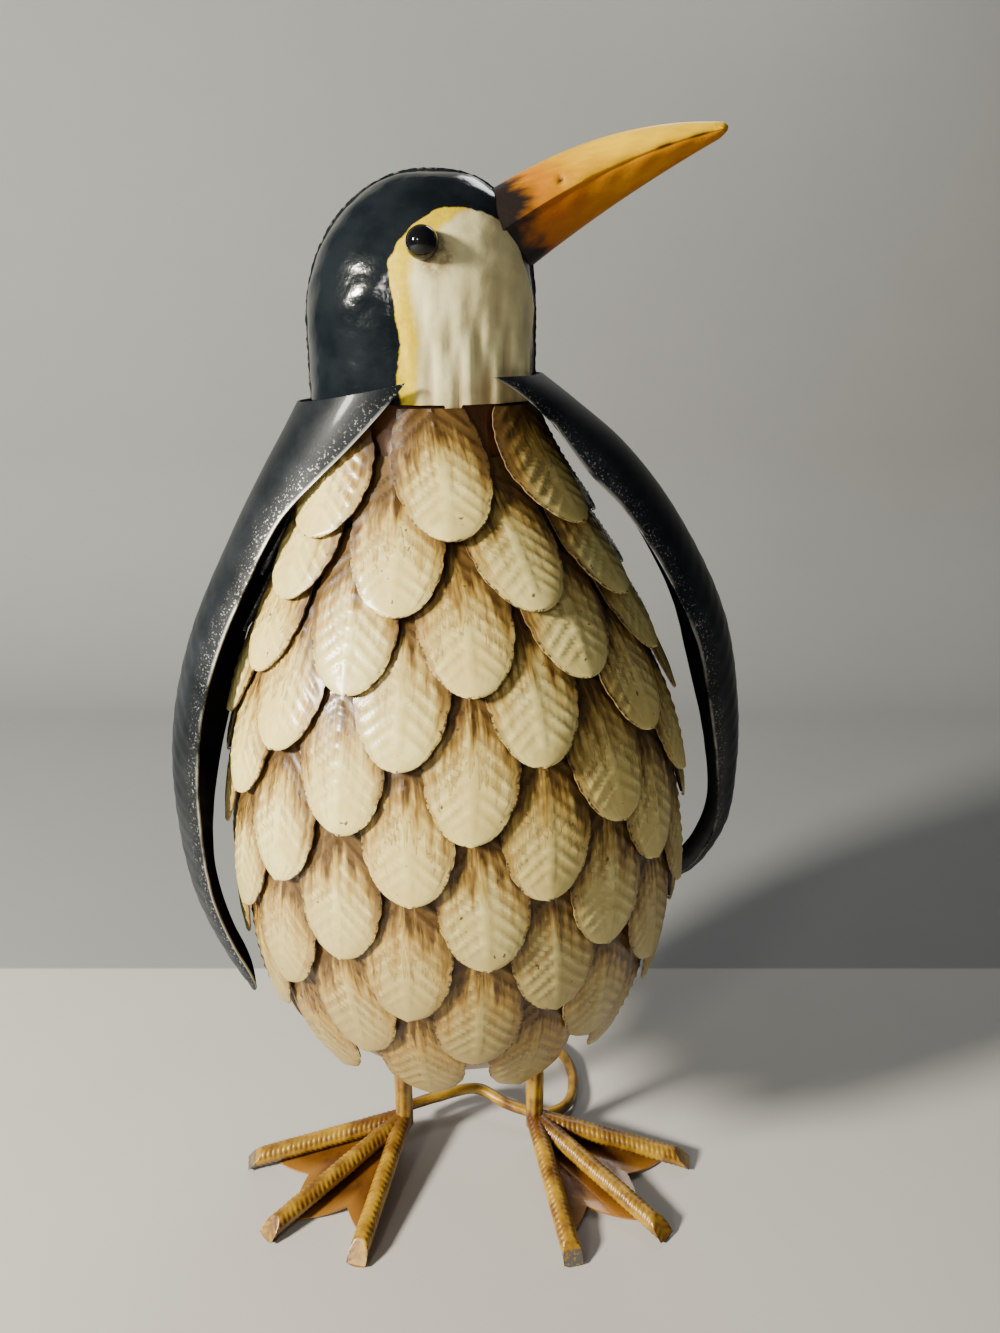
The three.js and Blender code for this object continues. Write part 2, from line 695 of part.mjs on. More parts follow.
// The origin is the middle of the underside of the whole figure.
const bounds = new THREE.Box3().setFromObject(figure);
const centre = bounds.getCenter(new THREE.Vector3());
figure.position.set(-centre.x, -centre.y, -bounds.min.z);

export default figure;
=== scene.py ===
import math

import bpy
import numpy as np
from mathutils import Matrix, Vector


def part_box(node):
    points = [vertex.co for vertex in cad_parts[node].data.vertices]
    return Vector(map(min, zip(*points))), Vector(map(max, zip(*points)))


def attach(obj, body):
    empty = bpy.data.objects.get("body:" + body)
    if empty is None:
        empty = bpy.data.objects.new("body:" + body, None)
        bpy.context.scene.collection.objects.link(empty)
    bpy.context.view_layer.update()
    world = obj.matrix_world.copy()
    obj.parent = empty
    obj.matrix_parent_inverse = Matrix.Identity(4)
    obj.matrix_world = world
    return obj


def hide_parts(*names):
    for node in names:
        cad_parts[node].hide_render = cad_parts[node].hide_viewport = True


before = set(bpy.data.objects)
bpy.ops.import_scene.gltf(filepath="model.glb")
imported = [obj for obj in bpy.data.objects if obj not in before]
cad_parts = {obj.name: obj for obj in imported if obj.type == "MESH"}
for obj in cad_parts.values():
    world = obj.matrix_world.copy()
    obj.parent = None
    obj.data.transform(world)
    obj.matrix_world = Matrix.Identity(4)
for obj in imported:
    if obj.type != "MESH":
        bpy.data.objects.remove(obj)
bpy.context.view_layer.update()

# The figure is worked out in millimetres from the middle between its ankles, X to the beak's side,
# Y away from the viewer, Z up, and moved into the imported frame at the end.
MM = 0.001
random = np.random.default_rng(7)


def middle_of(node):
    low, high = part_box(node)
    return np.array((low + high) / 2) / MM


LEFT_HIP = middle_of("leg_left")
RIGHT_HIP = middle_of("leg_right")
HIP = (LEFT_HIP[0] - RIGHT_HIP[0]) / 2
ORIGIN = np.array([(LEFT_HIP[0] + RIGHT_HIP[0]) / 2, LEFT_HIP[1], 0.0])
GAP = 0.3

# Body shell: an egg that narrows to an oval neck
BODY_HALF_WIDTH = 95
BODY_HALF_DEPTH = 88
BELLY_HEIGHT = 190
RIM_HEIGHT = 100
EGG_DEPTH_BELOW_BELLY = 127
SKIRT_SLOPE = 0.6
NECK_HEIGHT = 380
NECK_HALF_WIDTH = 44
NECK_HALF_DEPTH = 33
NECK_SHIFT = -12
BODY_CENTRE = -3.5
SHOULDER_FULLNESS = 2.6
NECK_LEAN = 2.5
SHELL_GRID = (90, 120)
SHELL_FLOOR_RINGS = (0.9, 0.6, 0.3, 0.04)
RIM_BAND = 4

# Head
HEAD_MIDDLE = -12
HEAD_BACK_REACH = 48
HEAD_FRONT_REACH = 41.5
HEAD_HALF_THICKNESS = 35.5
HEAD_WALL_HEIGHT = 28
HEAD_DOME_HEIGHT = 55.5
BROW_FULLNESS = 2.6
HEAD_COLUMNS = 200
HEAD_WALL_ROWS = 34
HEAD_DOME_ROWS = 70
DOME_LAST_RING = 89.2
HEAD_INSET = 0.3
SEAM_HEIGHT = 1.4
SEAM_HALF_WIDTH = 0.75
SEAM_STRIP = 3.4
SEAM_CROWDING = 0.42

# The cream face
PATCH_LEFT = -23
PATCH_TOP = 448.5
PATCH_ROUND_FROM = 424
PATCH_ROUND_DEPTH = 22
PATCH_CROWN = 0
PATCH_BROW_FROM = 12
PATCH_BROW_REACH = 15
PATCH_BROW_DROP = 17
FACE_RAISE = 0.18
FOLD_HEIGHT = 0.5
FACE_SINK_AT_NECK = 0.25
FACE_RIM_WIDTH = 7.4
EYE_STAIN_OFFSET = 4.5
EYE_STAIN_SIZE = 7.2
BEAK_STAIN_AT = (27, 444)
BEAK_STAIN_SIZE = 11

# A small tab of the head's sheet hangs over the topmost feather.
TAB_MIDDLE = -0.8
TAB_HALF_WIDTH = 2.6
TAB_LENGTH = 3.2

# Eyes
EYE_DIAMETER = 12
EYE_FORWARD = 0.3
EYE_HEIGHT = 56
EYE_INSET = 2.5

# Beak: its two edges are arcs, each from the head over a bend to the tip. The root's places are
# shares of the head's front reach and of its dome.
BEAK_LENGTH = 88
BEAK_RISE = 22
BEAK_ROOT_HALF_WIDTH = 17
BEAK_TIP_HALF_WIDTH = 2
BEAK_TIP = (1, 4)
BEAK_TOP_FORWARD = 0.62
BEAK_TOP_RISE = 0.89
BEAK_LOW_RISE = 0.407
BEAK_CROWN = (0.5, 1.13)
BEAK_CHIN = (0.46, 0.545)
BEAK_SHARPNESS = 1.3
BEAK_TAPER = 0.85
BEAK_GRID = (110, 64)
BEAK_START = -0.1
BEAK_SPAN = 1.095
LOWER_BEAK_WIDTH = 0.93
MOUTH_SLITS = ((0.86, 0.06), (0.70, 0.05))
NOSTRIL_AT = 0.235
NOSTRIL_LIFT = 0.3
NOSTRIL_SIZE = 1.35
NOSTRIL_DEPTH = 1.6

# Feathers
FEATHER_LENGTH = 63
FEATHER_WIDTH = 34.5
FEATHER_SHEET = 0.7
FEATHER_SLOPE = 0.12
FEATHER_ROOT_LIFT = 0.75
FEATHER_CROWN = 0.9
FEATHER_WARP = 0.28
FEATHER_LEAN = 3.2
LEAN_PIVOT = 0.15
FEATHER_TIP_SHIFT = 1.8
FEATHER_TOP_MARGIN = 1
LEAF_WIDEST = 0.54
VEIN_PITCH = 6.2
VEIN_SLANT = 0.95
VEIN_SHARPNESS = 4.5
VEIN_HEIGHT = 0.62
MIDRIB_HEIGHT = 0.6
MIDRIB_HALF_WIDTH = 0.95
EMBOSS_THROUGH = 0.7
LEAF_GRID = (84, 27)
PLAIN_LEAF_GRID = (48, 17)

# Rows of feathers from the neck down to the rim: where the top row's tips hang, and how many go round
TOP_TIPS_BELOW_NECK = 51
ROW_PITCH = 25.3
FEATHERS_ROUND = 11
FEATHERS_ROUND_TOP = 7
FIRST_FEATHER_TURN = 7
BREAST_HALF_TURN = 64
SHARE_OF_PITCH = 0.47

# Wings
WING_SHEET = 1.2
WING_HALF_WIDTH = 30
WING_TIP_HALF_WIDTH = 8
WING_CURL = 60
WING_BACK_WRAP = 45
WING_TAPER = 0.55
WING_NARROW_FROM = 0.5
WING_TIP_TRIM = 0.22
WING_TIP_TRIM_FROM = 0.93
WING_TIP_ROUND_FROM = 0.965
WING_TIP_ROUND_REACH = 0.036
WING_TIP_UNCURL = 0.3
SHOULDER_DEPTH = 1.3
SHOULDER_ROUND = 1.15
SHOULDER_END = 0.2
WRAP_END = 0.16
TWIST_FROM = 0.45
LOBE_WRAP = 15
LOBE_END = 1 / 13
WING_GRID = (170, 56)
WING_VEIN_PITCH = 9.5

# Each wing's outermost line from the neck to the tip: the height as a share of the neck's, the stand off
# from the shell's side as a share of its half width, and the place behind as a share of its half depth.
LEFT_WING = {
    "side": 1, "front_wrap": 40, "twist": 8, "lobe_rise": 0,
    "spine": [(1.026, 0.053, 0), (0.998, 0.2, 0.011), (0.955, 0.358, 0.023), (0.88, 0.453, 0.068),
              (0.76, 0.453, 0.125), (0.64, 0.405, 0.17), (0.55, 0.395, 0.216), (0.47, 0.384, 0.273),
              (0.4, 0.316, 0.341), (0.36, 0.221, 0.398)],
}
RIGHT_WING = {
    "side": -1, "front_wrap": 78, "twist": 22, "lobe_rise": 9,
    "spine": [(0.998, 0.068, 0), (0.97, 0.137, -0.011), (0.93, 0.211, -0.023), (0.86, 0.274, -0.057),
              (0.75, 0.316, -0.102), (0.64, 0.321, -0.148), (0.54, 0.3, -0.216), (0.45, 0.242, -0.318),
              (0.385, 0.163, -0.409), (0.335, 0.084, -0.489)],
}

# Legs, toes and webs. A toe has its length and its turn outward.
ROD_DIAMETER = 9.6
ROD_COLUMNS = 32
ANKLE_HEIGHT = 16
TOE_TIP_AXIS = 4.1
TOES = {"inner": (77, 12), "middle": (86, 45), "outer": (81, 78)}
TOE_START = 1
TOE_BEVEL = 9
BARE_TOES = {("inner", 1), ("outer", -1)}
RIB_PITCH = 2.6
FLUTES = 7
PATTERN_HEIGHTS = {"ribs": 0.32, "flutes": 0.5, "plain": 0.0}
SKIN = 0.12
WEB_REACH = 0.82
WEB_NOTCH = 16
WEB_SHEET = 1
WEB_DROP = ROD_DIAMETER / 2 + GAP * 1.2
WEB_BELLY = 0.5
WEB_LIP = 0.35
WEB_LIP_REACH = 1.6
WEB_STEPS_ACROSS = 30
WEB_STEPS_OUT = 24

# The brace: across in shares of the hip's distance, back in shares of its reach, up in shares of the
# ankle's height over the floor
BRACE_DIAMETER = 6
BRACE_REACH = 76
BRACE_SINK = 0.1
BRACE_ROWS = 260
BRACE_ROUTE = [
    (-1.06, 0, 0.85), (-0.55, 0.13, 0.7), (0.1, 0.2, 0.77), (0.6, 0.09, 0.55), (1.12, 0.03, 0.4),
    (1.5, 0.13, 0.23), (1.68, 0.37, 0.03), (1.6, 0.66, 0), (1.18, 0.9, 0), (0.65, 1, 0),
]

# Stage, in metres
BOARD_BACK = 0.147
BOARD_EDGE = 0.003
SHEET_WALL = 0.86
SHEET_BEND = 0.26
BEND_STEPS = 24
STAGE_HEIGHT = 1.6
STAGE_HALF_WIDTH = 1.8
STAGE_FRONT = -2.6

# The camera stands in front and above, at the distance that gives the photograph's perspective.
CAMERA_PLACE = np.array([16.0, -418.0, 410.0])
CAMERA_PITCH = 19.1
FOCAL_PIXELS = 1001.0
PHOTO_HEIGHT = 1333.0
SENSOR = 36.0


def add_object(name, data):
    thing = bpy.data.objects.new(name, data)
    bpy.context.scene.collection.objects.link(thing)
    return thing


# Meshes from grids of points

def make_object(name, points, faces, attributes, material, sharp=35.0):
    mesh = bpy.data.meshes.new(name)
    mesh.from_pydata(((points + ORIGIN) * MM).tolist(), [], faces)
    for label, values in attributes.items():
        layer = mesh.attributes.new(label, "FLOAT", "POINT")
        layer.data.foreach_set("value", np.asarray(values, dtype=np.float32).ravel())
    mesh.shade_smooth()
    mesh.set_sharp_from_angle(angle=math.radians(sharp))
    mesh.validate()
    mesh.materials.append(material)
    piece = add_object(name, mesh)
    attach(piece, "root")
    return piece


def grid_faces(rows, columns, start=0, flip=False, closed=False):
    faces = []
    last = columns if closed else columns - 1
    for r in range(rows - 1):
        for c in range(last):
            d = (c + 1) % columns
            a, b = start + r * columns + c, start + r * columns + d
            e, f = start + (r + 1) * columns + d, start + (r + 1) * columns + c
            faces.append((a, f, e, b) if flip else (a, b, e, f))
    return faces


def sheet_faces(rows, columns):
    """Faces of two grids that lie face to face, joined round their edge. The first grid is the outer one."""
    under = rows * columns
    faces = grid_faces(rows, columns) + grid_faces(rows, columns, under, flip=True)
    rim = [(0, c) for c in range(columns - 1)] + [(r, columns - 1) for r in range(rows - 1)]
    rim += [(rows - 1, c) for c in range(columns - 1, 0, -1)] + [(r, 0) for r in range(rows - 1, 0, -1)]
    order = [r * columns + c for r, c in rim]
    for a, b in zip(order, order[1:] + order[:1]):
        faces.append((b, a, a + under, b + under))
    return faces


def on_grid(attributes, shape, step):
    """Attributes spread over a whole grid, whose columns run backwards for a step of -1."""
    return {label: np.broadcast_to(values, shape)[:, ::step] for label, values in attributes.items()}


def make_sheet(name, outer, inner, attributes, material, step=1):
    """A sheet with two faces."""
    rows, columns = outer.shape[:2]
    points = np.concatenate([outer[:, ::step].reshape(-1, 3), inner[:, ::step].reshape(-1, 3)])
    spread = on_grid(attributes, (rows, columns), step)
    doubled = {label: np.tile(values.ravel(), 2) for label, values in spread.items()}
    doubled["outer"] = np.repeat([1.0, 0.0], rows * columns)
    return make_object(name, points, sheet_faces(rows, columns), doubled, material)


def make_round(name, rings, attributes, material, sharp=35.0, step=1):
    """A closed round body from rings, with a fan at each end."""
    rings = rings[:, ::step]
    rows, columns = rings.shape[:2]
    ends = np.array([rings[0].mean(axis=0), rings[-1].mean(axis=0)])
    points = np.concatenate([rings.reshape(-1, 3), ends])
    faces = grid_faces(rows, columns, closed=True)
    low, high = rows * columns, rows * columns + 1
    for c in range(columns):
        d = (c + 1) % columns
        faces.append((low, d, c))
        faces.append((high, (rows - 1) * columns + c, (rows - 1) * columns + d))
    spread = on_grid(attributes, (rows, columns), step)
    padded = {label: np.append(v.ravel(), [v[0].mean(), v[-1].mean()]) for label, v in spread.items()}
    return make_object(name, points, faces, padded, material, sharp)


# Lines and surfaces

def smooth_step(x, low, high):
    t = np.clip((x - low) / (high - low), 0, 1)
    return t * t * (3 - 2 * t)


def ripple(x, y, seed=0.0):
    """A smooth unevenness between about -1 and 1, from a few crossed waves."""
    a = np.sin(x * 1.0 + 1.7 * seed) * np.cos(y * 1.3 - seed)
    b = np.sin(x * 2.3 - y * 1.9 + 3.1 * seed)
    c = np.cos(x * 0.7 + y * 2.9 + 0.6 * seed)
    return (a + 0.6 * b + 0.5 * c) / 2.1


def full_turn(count):
    return np.linspace(0, 2 * np.pi, count, endpoint=False)[None, :]


def unit(vectors):
    return vectors / np.linalg.norm(vectors, axis=-1, keepdims=True)


def walked_along(line):
    """The distance from a line's first point to each of its points, along it."""
    return np.concatenate([[0], np.cumsum(np.linalg.norm(np.diff(line, axis=0), axis=1))])


def smooth_line(points, count):
    """Points at equal steps along a centripetal spline, the direction at each, and its length."""
    points = np.array(points, float)
    extended = np.vstack([2 * points[0] - points[1], points, 2 * points[-1] - points[-2]])
    dense = []
    for p0, p1, p2, p3 in zip(extended, extended[1:], extended[2:], extended[3:]):
        k = [0.0]
        for a, b in ((p0, p1), (p1, p2), (p2, p3)):
            k.append(k[-1] + np.linalg.norm(b - a) ** 0.5)
        t = np.linspace(k[1], k[2], 24, endpoint=False)[:, None]

        def between(first, a, last, b):
            return ((k[last] - t) * a + (t - k[first]) * b) / (k[last] - k[first])

        a1, a2, a3 = between(0, p0, 1, p1), between(1, p1, 2, p2), between(2, p2, 3, p3)
        dense.append(between(1, between(0, a1, 2, a2), 2, between(1, a2, 3, a3)))
    dense = np.vstack([*dense, points[-1:]])
    walked = walked_along(dense)
    wanted = np.linspace(0, walked[-1], count)
    line = np.stack([np.interp(wanted, walked, dense[:, i]) for i in range(3)], axis=-1)
    return line, unit(np.gradient(line, axis=0)), walked[-1]


def turned(vectors, axes, angles):
    """Each vector turned about its own axis."""
    cosine, dot = np.cos(angles), np.sum(vectors * axes, axis=1, keepdims=True)
    return vectors * cosine + np.cross(axes, vectors) * np.sin(angles) + axes * dot * (1 - cosine)


def body_half(height, belly, neck):
    rise = np.clip((height - BELLY_HEIGHT) / (NECK_HEIGHT - BELLY_HEIGHT), 0, 1)
    upper = neck + (belly - neck) * (1 - rise ** SHOULDER_FULLNESS) ** 2
    share = (BELLY_HEIGHT - np.clip(height, RIM_HEIGHT, BELLY_HEIGHT)) / EGG_DEPTH_BELOW_BELLY
    lower = belly * np.sqrt(1 - share ** 2) - np.maximum(0, RIM_HEIGHT - height) * SKIRT_SLOPE
    return np.where(height > BELLY_HEIGHT, upper, lower)


def body_middle(height):
    rise = np.clip((height - BELLY_HEIGHT) / (NECK_HEIGHT - BELLY_HEIGHT), 0, 1)
    return BODY_CENTRE + NECK_SHIFT * rise ** NECK_LEAN


def body_point(turn, height):
    turn, height = np.broadcast_arrays(np.asarray(turn, float), np.asarray(height, float))
    x = body_middle(height) + body_half(height, BODY_HALF_WIDTH, NECK_HALF_WIDTH) * np.sin(turn)
    y = -body_half(height, BODY_HALF_DEPTH, NECK_HALF_DEPTH) * np.cos(turn)
    return np.stack([x, y, height], axis=-1)


def body_frame(turn, height):
    """The body's point, the direction square to it, and its radius across, at each turn and height."""
    step = 0.01
    across = body_point(turn + step, height) - body_point(turn - step, height)
    up = body_point(turn, height + 1) - body_point(turn, height - 1)
    return body_point(turn, height), unit(np.cross(across, up)), np.linalg.norm(across, axis=-1) / (2 * step)


# Shader helpers

class Nodes:
    """A material's node tree, with short calls for the nodes that the paints use."""

    def __init__(self, name):
        self.material = bpy.data.materials.new(name)
        self.material.use_nodes = True
        self.tree = self.material.node_tree
        self.shader = self.tree.nodes["Principled BSDF"]

    def fill(self, inputs, sources):
        """Links or sets inputs, each by its name or place. A source that is a text names a mesh attribute."""
        for label, source in sources.items():
            if isinstance(source, str):
                source = self.node("ShaderNodeAttribute", {}, attribute_name=source)["Fac"]
            if isinstance(source, bpy.types.NodeSocket):
                self.tree.links.new(source, inputs[label])
            elif inputs[label].type == "RGBA":
                inputs[label].default_value = (*source, 1)
            else:
                inputs[label].default_value = source

    def node(self, kind, sources, **settings):
        """The outputs of a new node."""
        node = self.tree.nodes.new(kind)
        for label, setting in settings.items():
            setattr(node, label, setting)
        self.fill(node.inputs, sources)
        return node.outputs

    def place(self, scale=(1, 1, 1)):
        position = self.node("ShaderNodeTexCoord", {})["Object"]
        return self.node("ShaderNodeMapping", {"Vector": position, "Scale": scale})["Vector"]

    def coordinate(self, axis):
        return self.node("ShaderNodeSeparateXYZ", {"Vector": self.place()})[axis]

    def noise(self, scale, detail=4.0, roughness=0.6, vector=None):
        look = {"Scale": scale, "Detail": detail, "Roughness": roughness}
        return self.node("ShaderNodeTexNoise", {"Vector": vector or self.place(), **look})["Fac"]

    def math(self, operation, *sources):
        return self.node("ShaderNodeMath", dict(enumerate(sources)), operation=operation)["Value"]

    def times(self, first, *others):
        for other in others:
            first = self.math("MULTIPLY", first, other)
        return first

    def plus(self, a, b):
        return self.math("ADD", a, b)

    def minus(self, a, b):
        return self.math("SUBTRACT", a, b)

    def larger(self, a, b):
        return self.math("MAXIMUM", a, b)

    def ramp(self, source, low, high):
        """0 at low, 1 at high and smooth between, where high may be the smaller one."""
        span = {"From Min": min(low, high), "From Max": max(low, high)}
        ends = {"To Min": float(low > high), "To Max": float(low < high)}
        sources = {"Value": source, **span, **ends}
        return self.node("ShaderNodeMapRange", sources, interpolation_type="SMOOTHSTEP")["Result"]

    def mix(self, factor, a, b):
        """A Mix node lists the sockets of every data type: 6 and 7 are colours, and output 2 their mix."""
        return self.node("ShaderNodeMix", {0: factor, 6: a, 7: b}, data_type="RGBA")[2]

    def mottled(self, source, low, high, colors):
        return self.mix(self.ramp(source, low, high), *colors)

    def over(self, color, tint, cover, most):
        """A tint laid over a colour, by the share given as most where cover is 1."""
        return self.mix(self.times(cover, most), color, tint)

    def bump(self, height, strength, distance):
        sources = {"Height": height, "Strength": strength, "Distance": distance}
        self.fill(self.shader.inputs, {"Normal": self.node("ShaderNodeBump", sources)["Normal"]})

    def finish(self, color, roughness, metallic=0, coat=0, coat_roughness=0.1, specular=0.5):
        self.fill(self.shader.inputs, {
            "Base Color": color, "Roughness": roughness, "Metallic": metallic, "Coat Weight": coat,
            "Coat Roughness": coat_roughness, "Specular IOR Level": specular})
        return self.material


# Colours, as linear values. A pair is a paint's two shades.

CREAM = (0.72, 0.58, 0.2), (0.91, 0.79, 0.31)
WARM_CREAM = (0.8, 0.62, 0.2)
# Painted shade: darker cream for the feathers low on the body
PAINTED_LOW_SHADE = (0.31, 0.225, 0.08)
AMBER_WASH = (0.38, 0.21, 0.03)
# Painted shadow: the near-black brown under the tips of the feathers above
PAINTED_COVER_SHADOW = (0.055, 0.024, 0.006)
DRIED_RING = (0.24, 0.11, 0.02)
VEIN_STAIN = (0.2, 0.11, 0.03)
EDGE_NICK = (0.03, 0.022, 0.016)
FEATHER_SPECK = (0.06, 0.035, 0.02)
FEATHER_BACK = (0.26, 0.17, 0.08)
FEATHER_BLACK = (0.008, 0.009, 0.011), (0.028, 0.031, 0.036)
WING_BLACK = (0.006, 0.008, 0.01), (0.018, 0.021, 0.025)
# Painted sheen: grey on the raised embossing of the wings
WING_PAINTED_SHEEN = (0.07, 0.08, 0.085)
BARE_STEEL = (0.4, 0.4, 0.39)
RUBBED_STEEL = (0.47, 0.46, 0.43)
HEAD_BLACK = (0.004, 0.006, 0.008), (0.01, 0.013, 0.016)
SEAM_RUB = (0.3, 0.27, 0.22)
FACE_CREAM = (0.76, 0.66, 0.33), (0.95, 0.87, 0.47)
FACE_YELLOW = (0.68, 0.46, 0), (0.8, 0.6, 0)
FOLD_WASH = (0.33, 0.22, 0.11)
NECK_STAIN = (0.34, 0.2, 0.07)
EYE_STAIN = (0.22, 0.13, 0.055)
BURNT_BROWN = (0.16, 0.045, 0.008)
BEAK_YELLOW = (0.68, 0.36, 0), (0.86, 0.52, 0)
BEAK_ORANGE = (0.42, 0.145, 0), (0.6, 0.24, 0)
BEAK_ROOT = (0.36, 0.085, 0.004)
BEAK_BURN = (0.012, 0.008, 0.007)
BEAK_TIP_WASH = (0.25, 0.1, 0.015)
# Burnt specks, and painted shade in the mouth slits and the nostril hole
BEAK_SPECKS_AND_SLIT_SHADE = (0.02, 0.012, 0.008)
OCHRE = (0.24, 0.115, 0.01), (0.44, 0.25, 0.018)
ROD_BROWN = (0.08, 0.026, 0.004), (0.17, 0.065, 0.008)
WELD_BROWN = (0.085, 0.026, 0.006)
CUT_STEEL = (0.1, 0.09, 0.08)
LACQUER = (0.075, 0.024, 0.004), (0.21, 0.08, 0.012)
LACQUER_SPOT = (0.06, 0.018, 0.004)
# Painted highlight: lighter lacquer along the web's front edge and the shell's rim
LACQUER_EDGE_HIGHLIGHT = (0.5, 0.23, 0.035)
BEAD_BLACK = (0.004, 0.004, 0.005), (0.012, 0.012, 0.013)
BOARD = (0.49, 0.475, 0.445), (0.53, 0.515, 0.48)
GREY_SHEET = (0.255, 0.26, 0.255), (0.275, 0.28, 0.275)


# Paints

def cream_feather_paint():
    """Cream enamel with a brown wash that pools at the root and in the veins, painted shadow where the
    feathers above cover it, painted shade low on the body, and dark nicks on the edge.
    """
    n = Nodes("cream_feather_paint")
    lanes = {"X": n.times("across", 3.2), "Y": n.times("share", 1.6), "Z": n.times("tone", 40)}
    lanes = n.node("ShaderNodeCombineXYZ", lanes)["Vector"]
    drips = n.minus(n.noise(2.2, 3, 0.55, lanes), 0.5)
    mottle, fine = n.noise(95, 5), n.noise(620, 3)
    # Painted shade: the feathers are painted darker towards the bottom of the body, where the light falls
    # off.
    low = n.ramp(n.coordinate("Z"), 0.25, 0.11)
    color = n.mottled(mottle, 0.36, 0.66, CREAM)
    color = n.over(color, WARM_CREAM, n.ramp("tone", 0.1, 1), 0.6)
    color = n.over(color, PAINTED_LOW_SHADE, low, 0.88)
    # The feathers above cover the root, and further down at the sides than in the middle. Near the root the
    # amber is the enamel's wash, and the near-black brown under the feathers above is painted shadow.
    shown = n.minus("share", n.times("across", "across", 0.3))
    reach = n.plus(shown, n.times(drips, 0.75))
    color = n.over(color, AMBER_WASH, n.ramp(reach, 0.64, 0.34), 0.85)
    color = n.over(color, PAINTED_COVER_SHADOW, n.ramp(reach, 0.45, 0.22), 0.95)
    ring = n.ramp(n.math("ABSOLUTE", n.minus(reach, 0.56)), 0.03, 0)
    color = n.over(color, DRIED_RING, n.times(ring, n.ramp("tone", 0.25, 0.75)), 0.6)
    # Brown stays between the veins, most of it in the root half; low on the body it is deepened as part of
    # the painted shade there.
    rooted = n.plus(n.ramp(reach, 0.95, 0.45), n.times(low, 0.35))
    valley = n.times(n.ramp("relief", 0.5, 0.08), n.ramp(mottle, 0.3, 0.6))
    color = n.over(color, VEIN_STAIN, n.times(valley, rooted), 0.5)
    nicks = n.times(n.ramp("edge", 0.9, 0.985), n.ramp(fine, 0.47, 0.6))
    color = n.over(color, EDGE_NICK, nicks, 0.9)
    color = n.over(color, FEATHER_SPECK, n.ramp(n.noise(310, 2, 0.5), 0.71, 0.76), 0.85)
    color = n.mix("outer", FEATHER_BACK, color)
    n.bump(n.plus(n.times(mottle, 0.7), n.times(fine, 0.3)), 0.25, 0.0006)
    roughness = n.plus(0.3, n.times(mottle, 0.2))
    return n.finish(color, roughness, coat=0.2, coat_roughness=0.16, specular=0.25)


def black_feather_paint():
    """Satin black over bare steel that shows silver on the veins and the edges."""
    n = Nodes("black_feather_paint")
    cloud, fine = n.noise(60), n.noise(700, 4, 0.65)
    black = n.mottled(cloud, 0.35, 0.7, FEATHER_BLACK)
    rub = n.times(n.ramp("edge", 0.86, 0.99), n.ramp(fine, 0.42, 0.6), 0.8)
    veins = n.times(n.ramp("relief", 0.75, 1.1), n.ramp(cloud, 0.45, 0.7), 0.3)
    worn = n.larger(rub, veins)
    n.bump(n.plus(cloud, fine), 0.2, 0.0005)
    roughness = n.plus(0.28, n.times(cloud, 0.25))
    return n.finish(n.mix(worn, black, BARE_STEEL), roughness, n.times(worn, 0.8), coat=0.3)


def wing_paint():
    """Black enamel with a painted grey sheen on the embossing and a speckled silver rub along the edges."""
    n = Nodes("wing_paint")
    cloud, fine = n.noise(38), n.noise(900, 3, 0.7)
    color = n.mottled(cloud, 0.3, 0.7, WING_BLACK)
    # Painted sheen: the raised embossing is painted grey where it would catch the light.
    painted_sheen = n.times(n.ramp("relief", 0.1, 1), n.ramp(cloud, 0.35, 0.65))
    color = n.over(color, WING_PAINTED_SHEEN, painted_sheen, 0.14)
    band = n.ramp(n.plus("edge", n.times(n.minus(cloud, 0.5), 0.5)), 0.70, 0.99)
    speckle = n.times(band, n.ramp(fine, 0.58, 0.66), 0.75)
    rim = n.times(n.ramp("edge", 0.955, 1), n.ramp(cloud, 0.38, 0.6), 0.85)
    worn = n.times(n.larger(speckle, rim), n.plus(0.25, n.times("outer", 0.75)))
    color = n.mix(worn, color, RUBBED_STEEL)
    n.bump(n.plus(n.times(fine, 0.35), cloud), 0.22, 0.0008)
    roughness = n.plus(0.3, n.times(cloud, 0.2))
    return n.finish(color, roughness, n.times(worn, 0.7), coat=0.06, specular=0.1)


def head_paint():
    """Glossy black with a cream face, a brushed yellow rim round it, and brown wash in its folds."""
    n = Nodes("head_paint")
    cloud, fine = n.noise(55), n.noise(420)
    inside = n.plus("patch", n.times(n.minus(n.noise(130, 3), 0.5), 3.6))
    seam = n.times(n.ramp("seam", 0.35, 0.9), n.ramp(fine, 0.5, 0.62))
    black = n.over(n.mottled(cloud, 0.3, 0.7, HEAD_BLACK), SEAM_RUB, seam, 0.45)
    face = n.mottled(cloud, 0.32, 0.68, FACE_CREAM)
    face = n.over(face, FOLD_WASH, n.ramp("relief", 0.25, -0.9), 0.5)
    streaks = n.noise(70, 3, 0.6, n.place((1, 1, 0.25)))
    low = n.times(n.ramp("height", 0.36, -0.02), n.ramp(streaks, 0.42, 0.64))
    face = n.over(face, NECK_STAIN, low, 0.62)
    stain = n.times(n.ramp("stain", 0.12, 0.75), n.ramp(fine, 0.2, 0.6))
    face = n.over(face, EYE_STAIN, stain, 0.8)
    rim = n.times(n.ramp(n.minus(inside, "rim"), 1.8, -2.2), n.ramp("rim", 0, 1))
    face = n.mix(rim, face, n.mottled(fine, 0.35, 0.7, FACE_YELLOW))
    mask = n.ramp(inside, -0.45, 0.35)
    flame = n.times(n.ramp("beak", 0.25, 0.95), n.ramp(fine, 0.3, 0.6))
    color = n.over(n.mix(mask, black, face), BURNT_BROWN, flame, 0.55)
    n.bump(n.plus(cloud, n.times(fine, 0.22)), 0.35, 0.0012)
    roughness = n.plus(0.13, n.times(mask, 0.3))
    return n.finish(color, roughness, coat=0.12, coat_roughness=0.06, specular=0.4)


